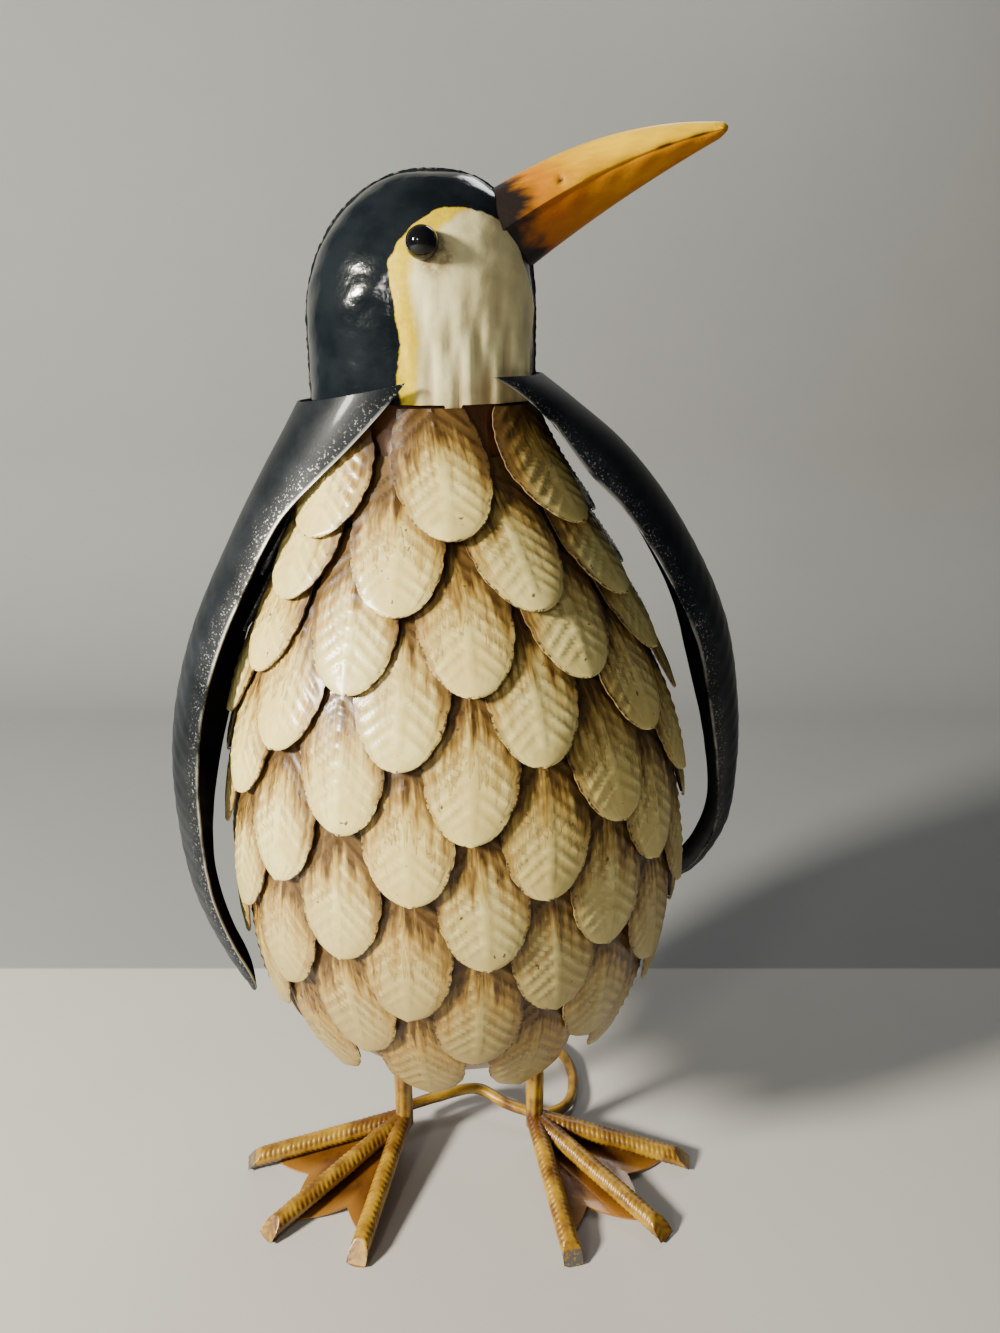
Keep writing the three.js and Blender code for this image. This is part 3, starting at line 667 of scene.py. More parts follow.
def beak_paint():
    """Yellow on top and orange below, burnt to black at the root, with brown brush lines."""
    n = Nodes("beak_paint")
    streaks, fine = n.noise(60, 4, 0.6, n.place((0.35, 1.6, 1.2))), n.noise(520, 4, 0.65)
    lower, upper = n.mottled(streaks, 0.35, 0.7, BEAK_ORANGE), n.mottled(streaks, 0.35, 0.65, BEAK_YELLOW)
    color = n.mix("upper", lower, upper)
    brushed = n.plus("along", n.times(n.minus(streaks, 0.5), 0.35))
    color = n.over(color, BEAK_ROOT, n.ramp(brushed, 0.5, 0.1), 0.8)
    color = n.mix(n.ramp(brushed, 0.14, 0.02), color, BEAK_BURN)
    color = n.over(color, BEAK_TIP_WASH, n.times(n.ramp("along", 0.86, 1), n.ramp(fine, 0.42, 0.6)), 0.6)
    # The specks are burnt spots; the same near black in the slits and the nostril is painted shade.
    specks = n.times(n.ramp(n.noise(240, 2, 0.5), 0.74, 0.79), 0.6)
    color = n.mix(n.larger("slit_and_hole_shade", specks), color, BEAK_SPECKS_AND_SLIT_SHADE)
    n.bump(n.plus(streaks, n.times(fine, 0.5)), 0.35, 0.0008)
    roughness = n.plus(0.3, n.times(fine, 0.22))
    return n.finish(color, roughness, coat=0.04, coat_roughness=0.2, specular=0.22)


def rod_paint():
    """Ochre on the top and the ribs, brown lacquer low down and between them, with a bare end."""
    n = Nodes("rod_paint")
    cloud, fine = n.noise(75), n.noise(650, 4, 0.65)
    ochre, brown = n.mottled(cloud, 0.35, 0.65, OCHRE), n.mottled(cloud, 0.4, 0.7, ROD_BROWN)
    raised = n.plus(n.times("relief", 0.4), n.times("top", 0.6))
    raised = n.plus(raised, n.times(n.minus(cloud, 0.5), 1.3))
    color = n.mix(n.ramp(raised, 0.2, 0.75), brown, ochre)
    color = n.over(color, WELD_BROWN, n.ramp("weld", 0.2, 0.9), 0.75)
    bare = n.times(n.ramp("bare", 0.4, 0.8), n.ramp(fine, 0.35, 0.5))
    color = n.mix(bare, color, CUT_STEEL)
    n.bump(n.plus(cloud, n.times(fine, 0.5)), 0.4, 0.0006)
    roughness = n.plus(0.22, n.times(fine, 0.25))
    return n.finish(color, roughness, metallic=0.1, coat=0.2, coat_roughness=0.25)


def amber_lacquer():
    """Brown translucent lacquer over steel, with a painted highlight along the edge."""
    n = Nodes("amber_lacquer")
    cloud, fine = n.noise(42), n.noise(380)
    color = n.mottled(cloud, 0.3, 0.7, LACQUER)
    color = n.over(color, LACQUER_SPOT, n.ramp(fine, 0.6, 0.72), 0.5)
    # Painted highlight: the lacquer is lighter towards the web's front edge and the shell's rim.
    color = n.over(color, LACQUER_EDGE_HIGHLIGHT, n.ramp("edge", 0.75, 1), 0.6)
    n.bump(n.plus(cloud, n.times(fine, 0.3)), 0.35, 0.001)
    roughness = n.plus(0.2, n.times(fine, 0.25))
    return n.finish(color, roughness, metallic=0.25, coat=0.5, coat_roughness=0.12)


def bead_gloss():
    """Black glass-like enamel with a few scratches."""
    n = Nodes("bead_gloss")
    fine = n.noise(480, 3, 0.5)
    n.bump(fine, 0.04, 0.0003)
    roughness = n.plus(0.03, n.times(fine, 0.06))
    color = n.mottled(fine, 0.5, 0.8, BEAD_BLACK)
    return n.finish(color, roughness, coat=0.25, coat_roughness=0.03, specular=0.25)


# Body shell

def make_shell(material):
    rows, columns = SHELL_GRID
    heights = np.linspace(RIM_HEIGHT, NECK_HEIGHT - GAP, rows)[:, None]
    wall = body_point(full_turn(columns), heights)
    edge = smooth_step(heights, RIM_HEIGHT + RIM_BAND, RIM_HEIGHT)
    centre = np.array([BODY_CENTRE, 0, RIM_HEIGHT])
    floor = np.array([wall[0] * (1 - inward) + centre * inward for inward in SHELL_FLOOR_RINGS])
    rings = np.concatenate([floor, wall])
    attributes = {"edge": np.concatenate([np.zeros((len(floor), 1)), edge])}
    piece = make_round("body_lacquered_shell", rings, attributes, material)
    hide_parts("body_shell")


# Feathers, from rows of points down to the tip

def leaf_half(share):
    """Half the feather's width at a share of its length, as a share of the widest."""
    widen = 0.44 + 0.56 * np.sin(np.pi / 2 * np.clip(share / LEAF_WIDEST, 0, 1)) ** 0.95
    tip = np.clip((share - LEAF_WIDEST) / (1 - LEAF_WIDEST), 0, 1)
    return np.where(share < LEAF_WIDEST, widen, np.sqrt(np.maximum(0.002, 1 - tip ** 2.15)))


def leaf_line(turn, tip, rows):
    """Shares of a feather's length down to its tip, and the body's height at each. It starts at the neck
    where the whole length doesn't fit below it."""
    walk = np.arange(tip, NECK_HEIGHT - FEATHER_TOP_MARGIN, 0.5)
    walked = walked_along(body_point(turn, walk))
    hidden = max(0.0, 1 - walked[-1] / FEATHER_LENGTH)
    share = hidden + (1 - hidden) * (1 - (1 - np.linspace(0, 1, rows)) ** 1.5)
    return share, np.interp(FEATHER_LENGTH * (1 - share), walked, walk)


def leaf_relief(share, across, side, down, nick):
    """The veins and the midrib of a feather, each between 0 and 1."""
    vein = 0.5 + 0.5 * np.cos(2 * np.pi * (down - VEIN_SLANT * np.abs(side) + nick * 0.1) / VEIN_PITCH)
    inner = smooth_step(np.abs(side), 0.9, 2.2) * smooth_step(np.abs(across), 0.93, 0.7)
    body = smooth_step(share, 0.05, 0.2) * smooth_step(share, 0.95, 0.8)
    rib = np.exp(-(side / MIDRIB_HALF_WIDTH) ** 2) * smooth_step(share, 0.98, 0.8)
    return vein ** VEIN_SHARPNESS * inner * body, rib


def make_feather(name, degrees, tip, pitch, material, fine):
    rows, columns = LEAF_GRID if fine else PLAIN_LEAF_GRID
    tone, lean, nick = random.random(), random.uniform(-FEATHER_LEAN, FEATHER_LEAN), random.random() * 20
    tip = tip + random.uniform(-FEATHER_TIP_SHIFT, FEATHER_TIP_SHIFT)
    turn, room = math.radians(degrees), math.radians(pitch) * SHARE_OF_PITCH
    share, height = leaf_line(turn, tip, rows)
    _, _, radius = body_frame(np.full(rows, turn), height)
    share, height, radius = share[:, None], height[:, None], radius[:, None]
    across = np.sin(np.linspace(-np.pi / 2, np.pi / 2, columns))[None, :]
    wave = 1 + 0.014 * np.sin(share * 34 + nick) + 0.01 * np.sin(share * 71 + 2 * nick)
    offset = np.minimum(room, leaf_half(share) * wave * FEATHER_WIDTH / 2 / radius) * across
    turns = turn + offset + math.radians(lean) * (share - LEAN_PIVOT)
    point, normal, _ = body_frame(turns, height)
    side, down = offset * radius, FEATHER_LENGTH * share
    veins, rib = leaf_relief(share, across, side, down, nick)
    crown = FEATHER_CROWN * np.minimum(1, share * 3) * (1 - across ** 2)
    warp = FEATHER_WARP * ripple(side / 9, down / 12, nick) * share
    lift = FEATHER_ROOT_LIFT + FEATHER_SLOPE * down + crown + warp
    emboss = VEIN_HEIGHT * veins + MIDRIB_HEIGHT * rib
    outer = point + normal * (lift + FEATHER_SHEET + emboss)[..., None]
    under = point + normal * (lift + EMBOSS_THROUGH * emboss)[..., None]
    edge = np.maximum(np.abs(across), smooth_step(share, 0.9, 1.0))
    attributes = {"share": share, "across": across, "relief": veins + rib, "edge": edge, "tone": tone}
    return make_sheet(name, outer, under, attributes, material)


def black_from(row):
    """The turn, in degrees, beyond which a row's feathers are painted black."""
    return 62 + 36 * min(1, row / 4)


def make_feathers(cream, black):
    top_tips = NECK_HEIGHT - TOP_TIPS_BELOW_NECK
    rows = math.floor((top_tips - RIM_HEIGHT) / ROW_PITCH) + 1
    for row in range(rows):
        count = min(FEATHERS_ROUND, FEATHERS_ROUND_TOP + 2 * row)
        pitch = 360 / count
        shift = 0 if row % 2 == 0 else pitch / 2
        tip = top_tips - ROW_PITCH * row
        turns = sorted((FIRST_FEATHER_TURN - shift + i * pitch + 180) % 360 - 180 for i in range(count))
        breast = 0
        for i, degrees in enumerate(turns):
            dark = abs(degrees) > black_from(row)
            paint, slot = (black, "black_feathers") if dark else (cream, "cream_feathers")
            if abs(degrees) < BREAST_HALF_TURN:
                breast += 1
                piece = make_feather(f"leaf_{row + 1}_{breast}", degrees, tip, pitch, paint, True)
                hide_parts(f"breast_feather_{row + 1}_{breast}")
            else:
                make_feather(f"side_leaf_{row + 1}_{i + 1}", degrees, tip, pitch, paint, not dark)


# Head and eyes

def patch_depth(x, z):
    """How far a point of the head lies inside the face's outline, in mm."""
    left = PATCH_LEFT + 2.6 * smooth_step(z, 412, 385) + 1.5 * np.sin(z / 7.0)
    high = np.maximum(0, z - PATCH_ROUND_FROM) / (PATCH_TOP - PATCH_ROUND_FROM)
    across = (PATCH_CROWN - x) / (PATCH_CROWN - left)
    corner = (1 - np.sqrt(np.maximum(0, across) ** 2 + high ** 2)) * PATCH_ROUND_DEPTH
    brow = np.clip((x - PATCH_BROW_FROM) / PATCH_BROW_REACH, 0, 1.2) ** 3
    top = (PATCH_TOP - z) - np.maximum(0, x - 4) * 0.30 - brow * PATCH_BROW_DROP
    side = np.where(z > PATCH_ROUND_FROM, corner, x - left)
    return np.minimum(np.where(x > PATCH_CROWN, 99, side), top)


def head_surface():
    """The smooth head as rings of points from the neck up, and the directions square to it."""
    turns = full_turn(HEAD_COLUMNS)
    # Columns crowd together at the seam, which runs along the middle of the head.
    turns = turns - SEAM_CROWDING * np.sin(2 * turns) / 2
    wall_top = NECK_HEIGHT + HEAD_WALL_HEIGHT
    wall = np.linspace(NECK_HEIGHT, wall_top, HEAD_WALL_ROWS, endpoint=False)
    angles = np.linspace(0, math.radians(DOME_LAST_RING), HEAD_DOME_ROWS)
    heights = np.concatenate([wall, wall_top + HEAD_DOME_HEIGHT * np.sin(angles)])[:, None]
    share = np.clip((heights - wall_top) / HEAD_DOME_HEIGHT, 0, 1)
    front = HEAD_FRONT_REACH * (1 - share ** BROW_FULLNESS) ** (1 / BROW_FULLNESS)
    back = HEAD_BACK_REACH * np.sqrt(1 - share ** 2)
    thick = HEAD_HALF_THICKNESS * np.sqrt(1 - share ** 2)
    x = HEAD_MIDDLE + np.cos(turns) * np.where(np.cos(turns) > 0, front, back)
    base = np.stack(np.broadcast_arrays(x, np.sin(turns) * thick, heights), axis=-1)
    around = np.roll(base, -1, axis=1) - np.roll(base, 1, axis=1)
    normal = np.cross(around, np.gradient(base, axis=0))
    normal /= np.maximum(1e-9, np.linalg.norm(normal, axis=-1, keepdims=True))
    return base, normal


def make_head(material):
    base, normal = head_surface()
    x, y, z = base[..., 0], base[..., 1], base[..., 2]
    seam = np.exp(-(y / SEAM_HALF_WIDTH) ** 2)
    rough = 0.8 + 0.2 * ripple(z * 0.8, x * 0.9, 2.0)
    patch = np.minimum(patch_depth(x, z), np.abs(y) - SEAM_STRIP)
    on_face = smooth_step(patch, -0.5, 1.0)
    neckward = smooth_step(z, 432, 384)
    drift = 2.0 * np.sin(z / 13.0) + 0.06 * (z - 400)
    folds = np.sin((x + drift) * 0.62) + 0.6 * np.sin((x - drift * 0.7) * 1.13 + 1.2)
    relief = folds * (0.12 + 0.88 * neckward)
    dents = 0.34 * ripple(x / 8, z / 7 + y / 9, 4.0) + 0.1 * ripple(x / 2.6, z / 2.4, 1.0)
    lift = SEAM_HEIGHT * seam * rough + dents * (1 - seam) - HEAD_INSET
    lift = lift + on_face * (FACE_RAISE + FOLD_HEIGHT * relief - FACE_SINK_AT_NECK * neckward)
    points = base + normal * lift[..., None]
    tab = TAB_LENGTH * (np.abs(x - TAB_MIDDLE) < TAB_HALF_WIDTH) * (y < 0)
    points[0, :, 2] = NECK_HEIGHT - tab[0]
    from_eye = np.hypot(x - HEAD_MIDDLE - EYE_FORWARD - EYE_STAIN_OFFSET,
                        z - NECK_HEIGHT - EYE_HEIGHT + EYE_STAIN_OFFSET)
    from_beak = np.hypot(x - BEAK_STAIN_AT[0], z - BEAK_STAIN_AT[1])
    attributes = {
        "patch": patch,
        "relief": relief * on_face,
        "seam": seam,
        "height": (z - NECK_HEIGHT) / (PATCH_TOP - NECK_HEIGHT),
        "stain": np.exp(-(from_eye / EYE_STAIN_SIZE) ** 2),
        "rim": FACE_RIM_WIDTH * smooth_step(x, 8, -9),
        "beak": np.exp(-(from_beak / BEAK_STAIN_SIZE) ** 2),
    }
    piece = make_round("head_shell", points, attributes, material, sharp=60.0)
    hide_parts("head")


def make_eye(label, side, material):
    polar, turns = np.linspace(0.02, np.pi - 0.02, 28)[:, None], full_turn(40)
    radius = EYE_DIAMETER / 2
    ball = np.stack(np.broadcast_arrays(
        radius * np.sin(polar) * np.cos(turns),
        radius * np.sin(polar) * np.sin(turns),
        -radius * np.cos(polar)), axis=-1)
    out = side * (HEAD_HALF_THICKNESS - EYE_INSET)
    centre = [HEAD_MIDDLE + EYE_FORWARD, out, NECK_HEIGHT + EYE_HEIGHT]
    piece = make_round(f"eye_bead_{label}", ball + centre, {}, material)
    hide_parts(f"eye_{label}")


# Beak

def arc(share, a, b, c):
    return (1 - share) ** 2 * a + 2 * share * (1 - share) * b + share ** 2 * c


def beak_edges(share):
    """The beak's top and lower edge at shares of its length, in X and Z."""
    dome_foot = NECK_HEIGHT + HEAD_WALL_HEIGHT
    root_top = np.array([HEAD_MIDDLE + HEAD_FRONT_REACH * BEAK_TOP_FORWARD,
                         dome_foot + HEAD_DOME_HEIGHT * BEAK_TOP_RISE])
    root_low = np.array([HEAD_MIDDLE + HEAD_FRONT_REACH, dome_foot + HEAD_DOME_HEIGHT * BEAK_LOW_RISE])
    size = np.array([BEAK_LENGTH, BEAK_RISE])
    tip_low = root_top + size - BEAK_TIP
    top = arc(share, root_top, root_top + size * BEAK_CROWN, root_top + size)
    return top, arc(share, root_low, root_low + (tip_low - root_low) * BEAK_CHIN, tip_low)


def pinched(wave):
    return np.sign(wave) * np.abs(wave) ** BEAK_SHARPNESS


def make_beak(material):
    rows, columns = BEAK_GRID
    share = BEAK_START + BEAK_SPAN * np.linspace(0, 1, rows)[:, None] ** 0.9
    top, low = beak_edges(share)
    mouth = (top + low) / 2
    turns = full_turn(columns)
    lift, out = pinched(np.sin(turns)), pinched(np.cos(turns))
    taper = np.clip(1 - share, 0, None) ** BEAK_TAPER
    wide = BEAK_TIP_HALF_WIDTH + (BEAK_ROOT_HALF_WIDTH - BEAK_TIP_HALF_WIDTH) * taper
    close = np.clip((1.0 - share) / 0.03, 0.05, 1) ** 0.5
    edge = np.where(lift[..., None] > 0, (top - mouth)[:, None, :], (low - mouth)[:, None, :])
    profile = mouth[:, None, :] + edge * (np.abs(lift) * close)[..., None]
    crease = np.exp(-(lift / 0.1) ** 2) * smooth_step(share, 0.2, 0.5)
    outer_slit, inner_slit = (smooth_step(np.abs(share - at), reach, 0.02) for at, reach in MOUTH_SLITS)
    slits = np.exp(-(lift / 0.055) ** 2) * np.maximum(outer_slit, inner_slit)
    y = wide * out * close * (1 - 0.06 * crease) * np.where(lift > 0, 1.0, LOWER_BEAK_WIDTH)
    dent = 0.35 * ripple(share * 16, lift * 3, 1.0) * smooth_step(share, 0.05, 0.3)
    y = y + np.sign(y) * dent * (np.abs(out) > 0.05)
    nostril = np.hypot((share - NOSTRIL_AT) * BEAK_LENGTH, (lift - NOSTRIL_LIFT) * 15)
    hole = np.exp(-(nostril / NOSTRIL_SIZE) ** 2)
    y = y - np.sign(y) * hole * NOSTRIL_DEPTH
    points = np.stack([profile[..., 0], y, profile[..., 1]], axis=-1)
    # Painted shade: the mouth slits and the nostril hole are painted near black for the shade inside them.
    dark = np.maximum(slits, smooth_step(hole, 0.3, 0.7))
    attributes = {"along": share, "upper": smooth_step(lift, -0.06, 0.06), "slit_and_hole_shade": dark}
    piece = make_round("beak_shell", points, attributes, material, sharp=50.0, step=-1)
    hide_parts("beak")


# Wings, from rows of points down to the tip

def wing_stations(plan):
    shares = np.array(plan["spine"])
    height = shares[:, 0] * NECK_HEIGHT
    half = body_half(height, BODY_HALF_WIDTH, NECK_HALF_WIDTH) + shares[:, 1] * BODY_HALF_WIDTH
    x = body_middle(height) + plan["side"] * half
    return np.stack([x, shares[:, 2] * BODY_HALF_DEPTH, height], axis=-1)


def wing_directions(plan, along, share):
    """The directions away from the body and across the sheet, turned by the wing's twist."""
    side, rows = plan["side"], len(share)
    square = unit(np.stack([-along[:, 2], np.zeros(rows), along[:, 0]], axis=-1) * side)
    blend = smooth_step(share, 0, SHOULDER_END)
    out = unit(np.array([side, 0.0, 0.0]) * (1 - blend) + square * blend)
    angle = math.radians(plan["twist"]) * side * smooth_step(share, TWIST_FROM, 1)
    return turned(out, along, angle), turned(np.repeat([[0.0, 1.0, 0.0]], rows, axis=0), along, angle)


def wing_wrap(plan, share):
    """The sheet's radius, how far it wraps forward and back, and the lobe at its top."""
    narrow = smooth_step(share, WING_NARROW_FROM, 1)
    trim = np.maximum(0, (share - WING_TIP_TRIM_FROM) / (1 - WING_TIP_TRIM_FROM)) ** 2
    taper = 1 - narrow * WING_TAPER - trim * WING_TIP_TRIM
    end = np.maximum(0, (share - WING_TIP_ROUND_FROM) / WING_TIP_ROUND_REACH) ** 2
    wide = np.maximum(WING_TIP_HALF_WIDTH, WING_HALF_WIDTH * taper) * np.sqrt(np.clip(1 - end, 0.02, 1))
    curl = np.radians(WING_CURL * (1 - WING_TIP_UNCURL * narrow))
    ease = smooth_step(share, 0, WRAP_END)
    lobe = np.clip(1 - share / LOBE_END, 0, 1)
    forward = math.radians(plan["front_wrap"]) * (1 - ease) + curl * ease + math.radians(LOBE_WRAP) * lobe
    backward = math.radians(WING_BACK_WRAP) * (1 - ease) + curl * ease
    return wide / np.sin(curl), forward, backward, lobe


def wing_relief(down, side, share, from_middle):
    """The embossing inside the sheet's edges, and the ruffle along them."""
    vein = 0.5 + 0.5 * np.cos(2 * np.pi * (down - 0.7 * np.abs(side)) / WING_VEIN_PITCH)
    scallop = 0.5 + 0.5 * ripple(down / 3.4, side / 3.0, 1.0)
    inside = smooth_step(from_middle, 0.97, 0.8)
    relief = (0.7 * vein ** 1.5 + 0.5 * scallop) * inside * smooth_step(share, 0.12, 0.5)
    return relief, 0.5 * np.sin(down / 3.1 + 2 * np.sin(down / 11)) * smooth_step(from_middle, 0.8, 1.0)


def make_wing(label, plan, material):
    rows, columns = WING_GRID
    line, along, length = smooth_line(wing_stations(plan), rows)
    share, place = np.linspace(0, 1, rows)[:, None], np.linspace(0, 1, columns)[None, :]
    from_middle = np.abs(2 * place - 1)
    out, across = wing_directions(plan, along, share)
    radius, forward, backward, lobe = wing_wrap(plan, share)
    angles = -forward + (forward + backward) * place
    relief, ruffle = wing_relief(share * length, angles * radius, share, from_middle)
    shoulder = 1 - smooth_step(share, 0, SHOULDER_END)
    deep = radius * (1 + (SHOULDER_DEPTH - 1) * shoulder)
    wide = radius * (1 + (SHOULDER_ROUND - 1) * shoulder)
    rise = plan["lobe_rise"] * lobe * np.maximum(0, -angles / forward) ** 2

    def layer(inward):
        around = ((wide - inward) * np.sin(angles))[..., None]
        proud = ((deep - inward) * np.cos(angles) - deep)[..., None]
        points = line[:, None, :] + across[:, None, :] * around + out[:, None, :] * proud
        points[..., 2] += rise
        return points

    outer = layer(0.35 - 0.35 * relief + 0.2 * ruffle)
    inner = layer(WING_SHEET - 0.2 * relief + 0.2 * ruffle)
    edge = np.maximum(from_middle, smooth_step(share, 0.95, 1.0))
    front_edge = np.maximum(edge * smooth_step(place, 0.5, 0.2), edge ** 3 * 0.93)
    attributes = {"relief": relief, "edge": front_edge}
    piece = make_sheet(f"wing_plate_{label}", outer, inner, attributes, material, plan["side"])
    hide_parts(f"wing_{label}")


# Legs and feet

def rod_relief(pattern, walked, turns):
    """How high each point of a rod stands, between 0 and 1."""
    if pattern == "ribs":
        sideways = np.abs(np.cos(turns))
        ribs = 0.5 + 0.5 * np.cos(2 * np.pi * (walked / RIB_PITCH - 0.8 * sideways))
        spine = np.exp(-((sideways - 1) / 0.04) ** 2)
        return np.maximum(ribs ** 1.5 * smooth_step(sideways, 0.1, 0.5), spine)
    if pattern == "flutes":
        return 0.5 + 0.5 * np.cos(FLUTES * turns + walked * 0.06)
    return 0.35 + 0.4 * ripple(walked / 7, turns, 2.0)


def rod_directions(along):
    """The directions sideways and up at each point of a rod, where an upright one has X for sideways."""
    side = np.cross(along, [0.0, 0.0, 1.0])
    side[np.linalg.norm(side, axis=1) < 0.3] = np.array([1.0, 0.0, 0.0])
    side = unit(side - along * np.sum(side * along, axis=1, keepdims=True))
    return side, np.cross(side, along)


def make_rod(name, node, line, along, radius, pattern, material, bevel=0.0, bare_end=False):
    """A round bar along a line: ribbed across, fluted along it or plain, and cut off slanting at its end."""
    side, up = rod_directions(along)
    walked, turns = walked_along(line)[:, None], full_turn(ROD_COLUMNS)
    left = walked[-1] - walked
    height = PATTERN_HEIGHTS[pattern]
    relief = rod_relief(pattern, walked, turns)
    dents = SKIN * ripple(walked / 4, turns * 2, radius)
    size = radius - height - SKIN + height * relief + dents
    slant = np.clip(1 - left / bevel, 0, 1) if bevel else 0 * walked
    rise = np.minimum(size * np.sin(turns), radius * (1 - 1.5 * slant))[..., None]
    points = line[:, None, :] + side[:, None, :] * (size * np.cos(turns))[..., None] + up[:, None, :] * rise
    points[..., 2] = np.maximum(points[..., 2], 0.0)
    attributes = {
        "relief": relief,
        "top": 0.7 if pattern == "flutes" else 0.5 + 0.5 * np.sin(turns),
        "bare": smooth_step(left, 7.0, 3.0) * bare_end,
        "weld": np.exp(-((line[:, 2:3] - ANKLE_HEIGHT) / 5.0) ** 2) * smooth_step(walked, 26.0, 4.0),
    }
    piece = make_round(name, points, attributes, material, sharp=50.0, step=-1)
    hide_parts(node)


def foot_point(side, degrees, distance, height):
    turn = math.radians(degrees)
    return np.array([side * (HIP + distance * math.sin(turn)), -distance * math.cos(turn), height])


def straight(a, b, count):
    return np.linspace(a, b, count), np.repeat([unit(b - a)], count, axis=0)


def make_legs(material):
    radius = ROD_DIAMETER / 2
    for side, label in ((1, "left"), (-1, "right")):
        foot = foot_point(side, 0, 0, ANKLE_HEIGHT - radius)
        line, along = straight(foot, foot_point(side, 0, 0, RIM_HEIGHT - GAP), 90)
        make_rod(f"leg_bar_{label}", f"leg_{label}", line, along, radius, "flutes", material)
        for toe, (length, turn) in TOES.items():
            start = foot_point(side, turn, TOE_START, ANKLE_HEIGHT)
            line, along = straight(start, foot_point(side, turn, length, TOE_TIP_AXIS), 170)
            make_rod(f"toe_bar_{toe}_{label}", f"toe_{toe}_{label}", line, along, radius, "ribs", material,
                     bevel=TOE_BEVEL, bare_end=(toe, side) in BARE_TOES)


def web_row(side, toe, next_toe, share):
    """Points from the ankle to the web's front edge, at a share of the way from one toe to the next."""
    length = toe[0] + (next_toe[0] - toe[0]) * share
    turn = toe[1] + (next_toe[1] - toe[1]) * share
    reach = length * WEB_REACH - WEB_NOTCH * (1 - abs(2 * share - 1))
    arch = math.sin(math.pi * share)
    row = []
    for j in range(WEB_STEPS_OUT + 1):
        distance = TOE_START + (reach - TOE_START) * j / WEB_STEPS_OUT
        height = ANKLE_HEIGHT + (TOE_TIP_AXIS - ANKLE_HEIGHT) * distance / length - WEB_DROP
        belly = WEB_BELLY * arch * math.sin(math.pi * j / WEB_STEPS_OUT)
        lip = WEB_LIP * math.exp(-((WEB_STEPS_OUT - j) / WEB_LIP_REACH) ** 2) * arch
        row.append(foot_point(side, turn, distance, height + belly + lip))
    return row


def make_webs(material):
    inner, middle, outer = TOES.values()
    steps = [i / WEB_STEPS_ACROSS for i in range(WEB_STEPS_ACROSS + 1)]
    for side, label in ((1, "left"), (-1, "right")):
        rows = [web_row(side, inner, middle, share) for share in steps]
        rows += [web_row(side, middle, outer, share) for share in steps[1:]]
        top = np.array(rows[::side])
        under = top - np.array([0, 0, WEB_SHEET])
        attributes = {"edge": np.arange(WEB_STEPS_OUT + 1) / WEB_STEPS_OUT}
        piece = make_sheet(f"web_plate_{label}", top, under, attributes, material)
        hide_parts(f"web_{label}")


def make_brace(material):
    behind = ROD_DIAMETER / 2 + BRACE_DIAMETER / 2 + 2 * GAP
    floor = BRACE_DIAMETER / 2 - BRACE_SINK
    points = [(across * HIP, behind + back * BRACE_REACH, floor + (ANKLE_HEIGHT - floor) * up)
              for across, back, up in BRACE_ROUTE]
    line, along, _ = smooth_line(points, BRACE_ROWS)
    make_rod("brace_bar", "brace_rod", line, along, BRACE_DIAMETER / 2, "plain", material)


# Stage, light and camera

def board_paint():
    n = Nodes("pale_board")
    fine = n.noise(14.0)
    behind = n.ramp(n.coordinate("Y"), BOARD_BACK, BOARD_BACK + BOARD_EDGE)
    return n.finish(n.mix(behind, n.mix(fine, *BOARD), n.mix(fine, *GREY_SHEET)), 0.75)


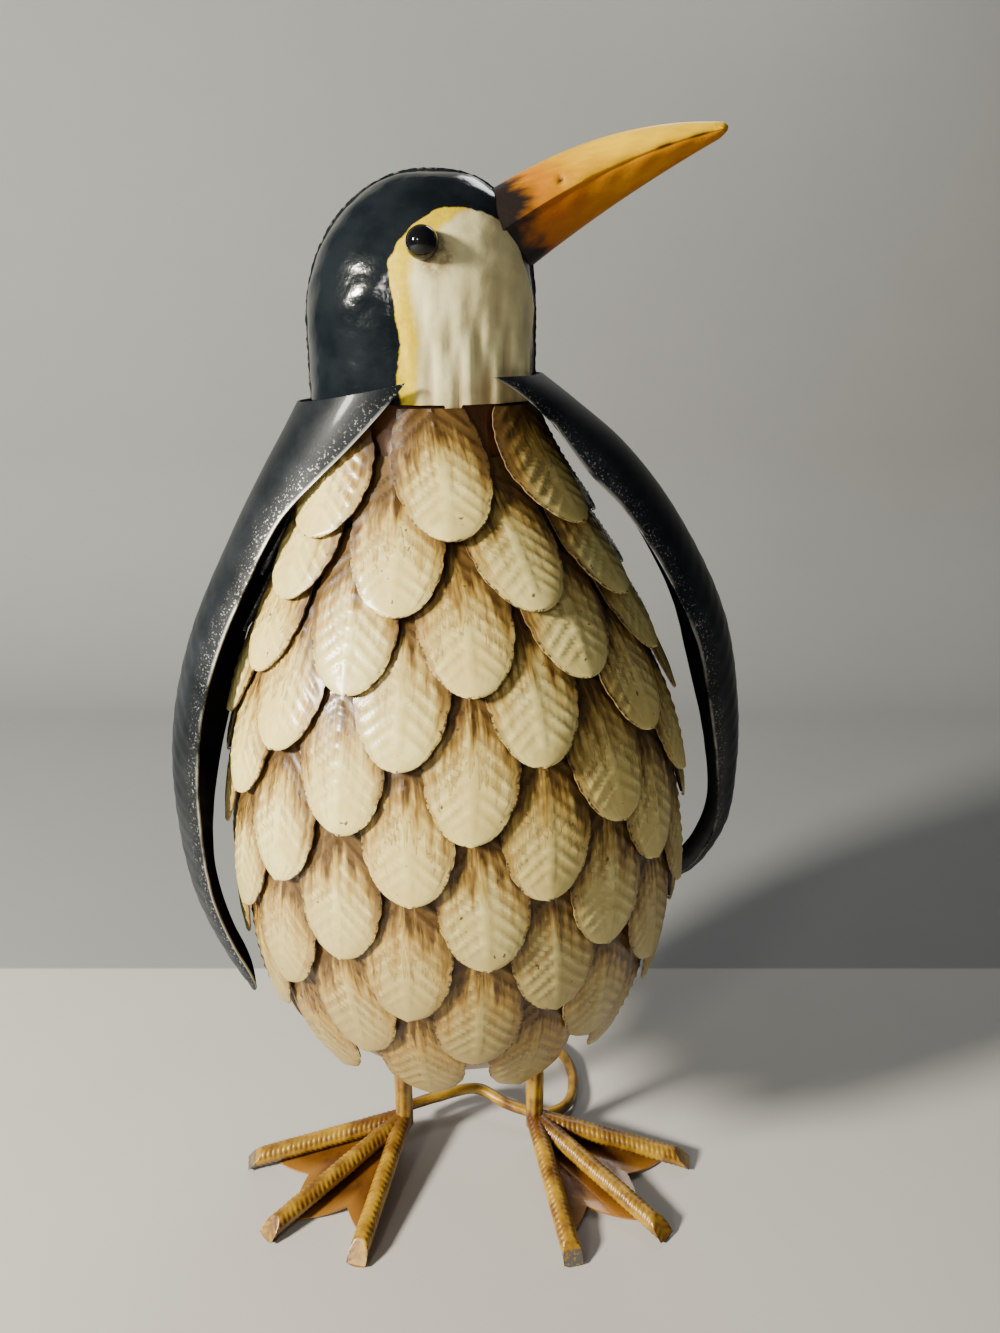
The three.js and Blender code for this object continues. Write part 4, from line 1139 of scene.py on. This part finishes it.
def make_stage():
    """A pale board and a grey sheet behind it, turned up far enough back for a view from behind."""
    profile = [(STAGE_FRONT, 0.0), (BOARD_BACK, 0.0), (SHEET_WALL - SHEET_BEND, 0.0)]
    for i in range(1, BEND_STEPS + 1):
        turn = math.pi / 2 * i / BEND_STEPS
        back = SHEET_WALL - SHEET_BEND * (1 - math.sin(turn))
        profile.append((back, SHEET_BEND * (1 - math.cos(turn))))
    profile.append((SHEET_WALL, STAGE_HEIGHT))
    vertices = [(x, y, z) for y, z in profile for x in (-STAGE_HALF_WIDTH, STAGE_HALF_WIDTH)]
    faces = [(2 * i, 2 * i + 1, 2 * i + 3, 2 * i + 2) for i in range(len(profile) - 1)]
    mesh = bpy.data.meshes.new("stage_floor")
    mesh.from_pydata(vertices, [], faces)
    mesh.shade_smooth()
    mesh.materials.append(board_paint())
    stage = add_object("stage_floor", mesh)


def make_light(name, place, target, size, power, color):
    data = bpy.data.lights.new(name, "AREA")
    data.shape, data.size, data.energy, data.color = "DISK", size, power, color
    lamp = add_object(name, data)
    lamp.location = place
    x, y, z = np.array(target) - place
    lamp.rotation_euler = (math.acos(-z / math.dist(target, place)), 0.0, math.atan2(y, x) - math.pi / 2)


def make_lights():
    world = bpy.data.worlds.new("soft_room")
    world.use_nodes = True
    background = world.node_tree.nodes["Background"]
    background.inputs["Color"].default_value = (0.78, 0.89, 1.0, 1)
    background.inputs["Strength"].default_value = 0.075
    bpy.context.scene.world = world
    make_light("key_lamp", (-1.24, -0.74, 0.86), (0, 0, 0.27), 0.24, 75, (1, 0.95, 0.82))
    make_light("front_lamp", (-0.62, -1.22, 0.82), (0, 0, 0.25), 0.2, 3.5, (1, 0.95, 0.86))
    make_light("back_lamp", (0.3, 0.72, 1.05), (0, 0, 0.25), 0.4, 2.6, (0.95, 0.97, 1))


def make_camera():
    data = bpy.data.cameras.new("camera")
    data.sensor_width = SENSOR
    data.lens = SENSOR * FOCAL_PIXELS / PHOTO_HEIGHT
    data.clip_start = 0.01
    camera = add_object("camera", data)
    camera.location = (CAMERA_PLACE + ORIGIN) * MM
    camera.rotation_euler = (math.radians(90 - CAMERA_PITCH), 0, 0)
    bpy.context.scene.camera = camera


def main():
    make_camera()
    make_stage()
    make_lights()
    lacquer, bars = amber_lacquer(), rod_paint()
    make_shell(lacquer)
    make_feathers(cream_feather_paint(), black_feather_paint())
    make_head(head_paint())
    bead = bead_gloss()
    make_eye("right", -1, bead)
    make_eye("left", 1, bead)
    make_beak(beak_paint())
    wing = wing_paint()
    make_wing("left", LEFT_WING, wing)
    make_wing("right", RIGHT_WING, wing)
    make_legs(bars)
    make_webs(lacquer)
    make_brace(bars)


main()
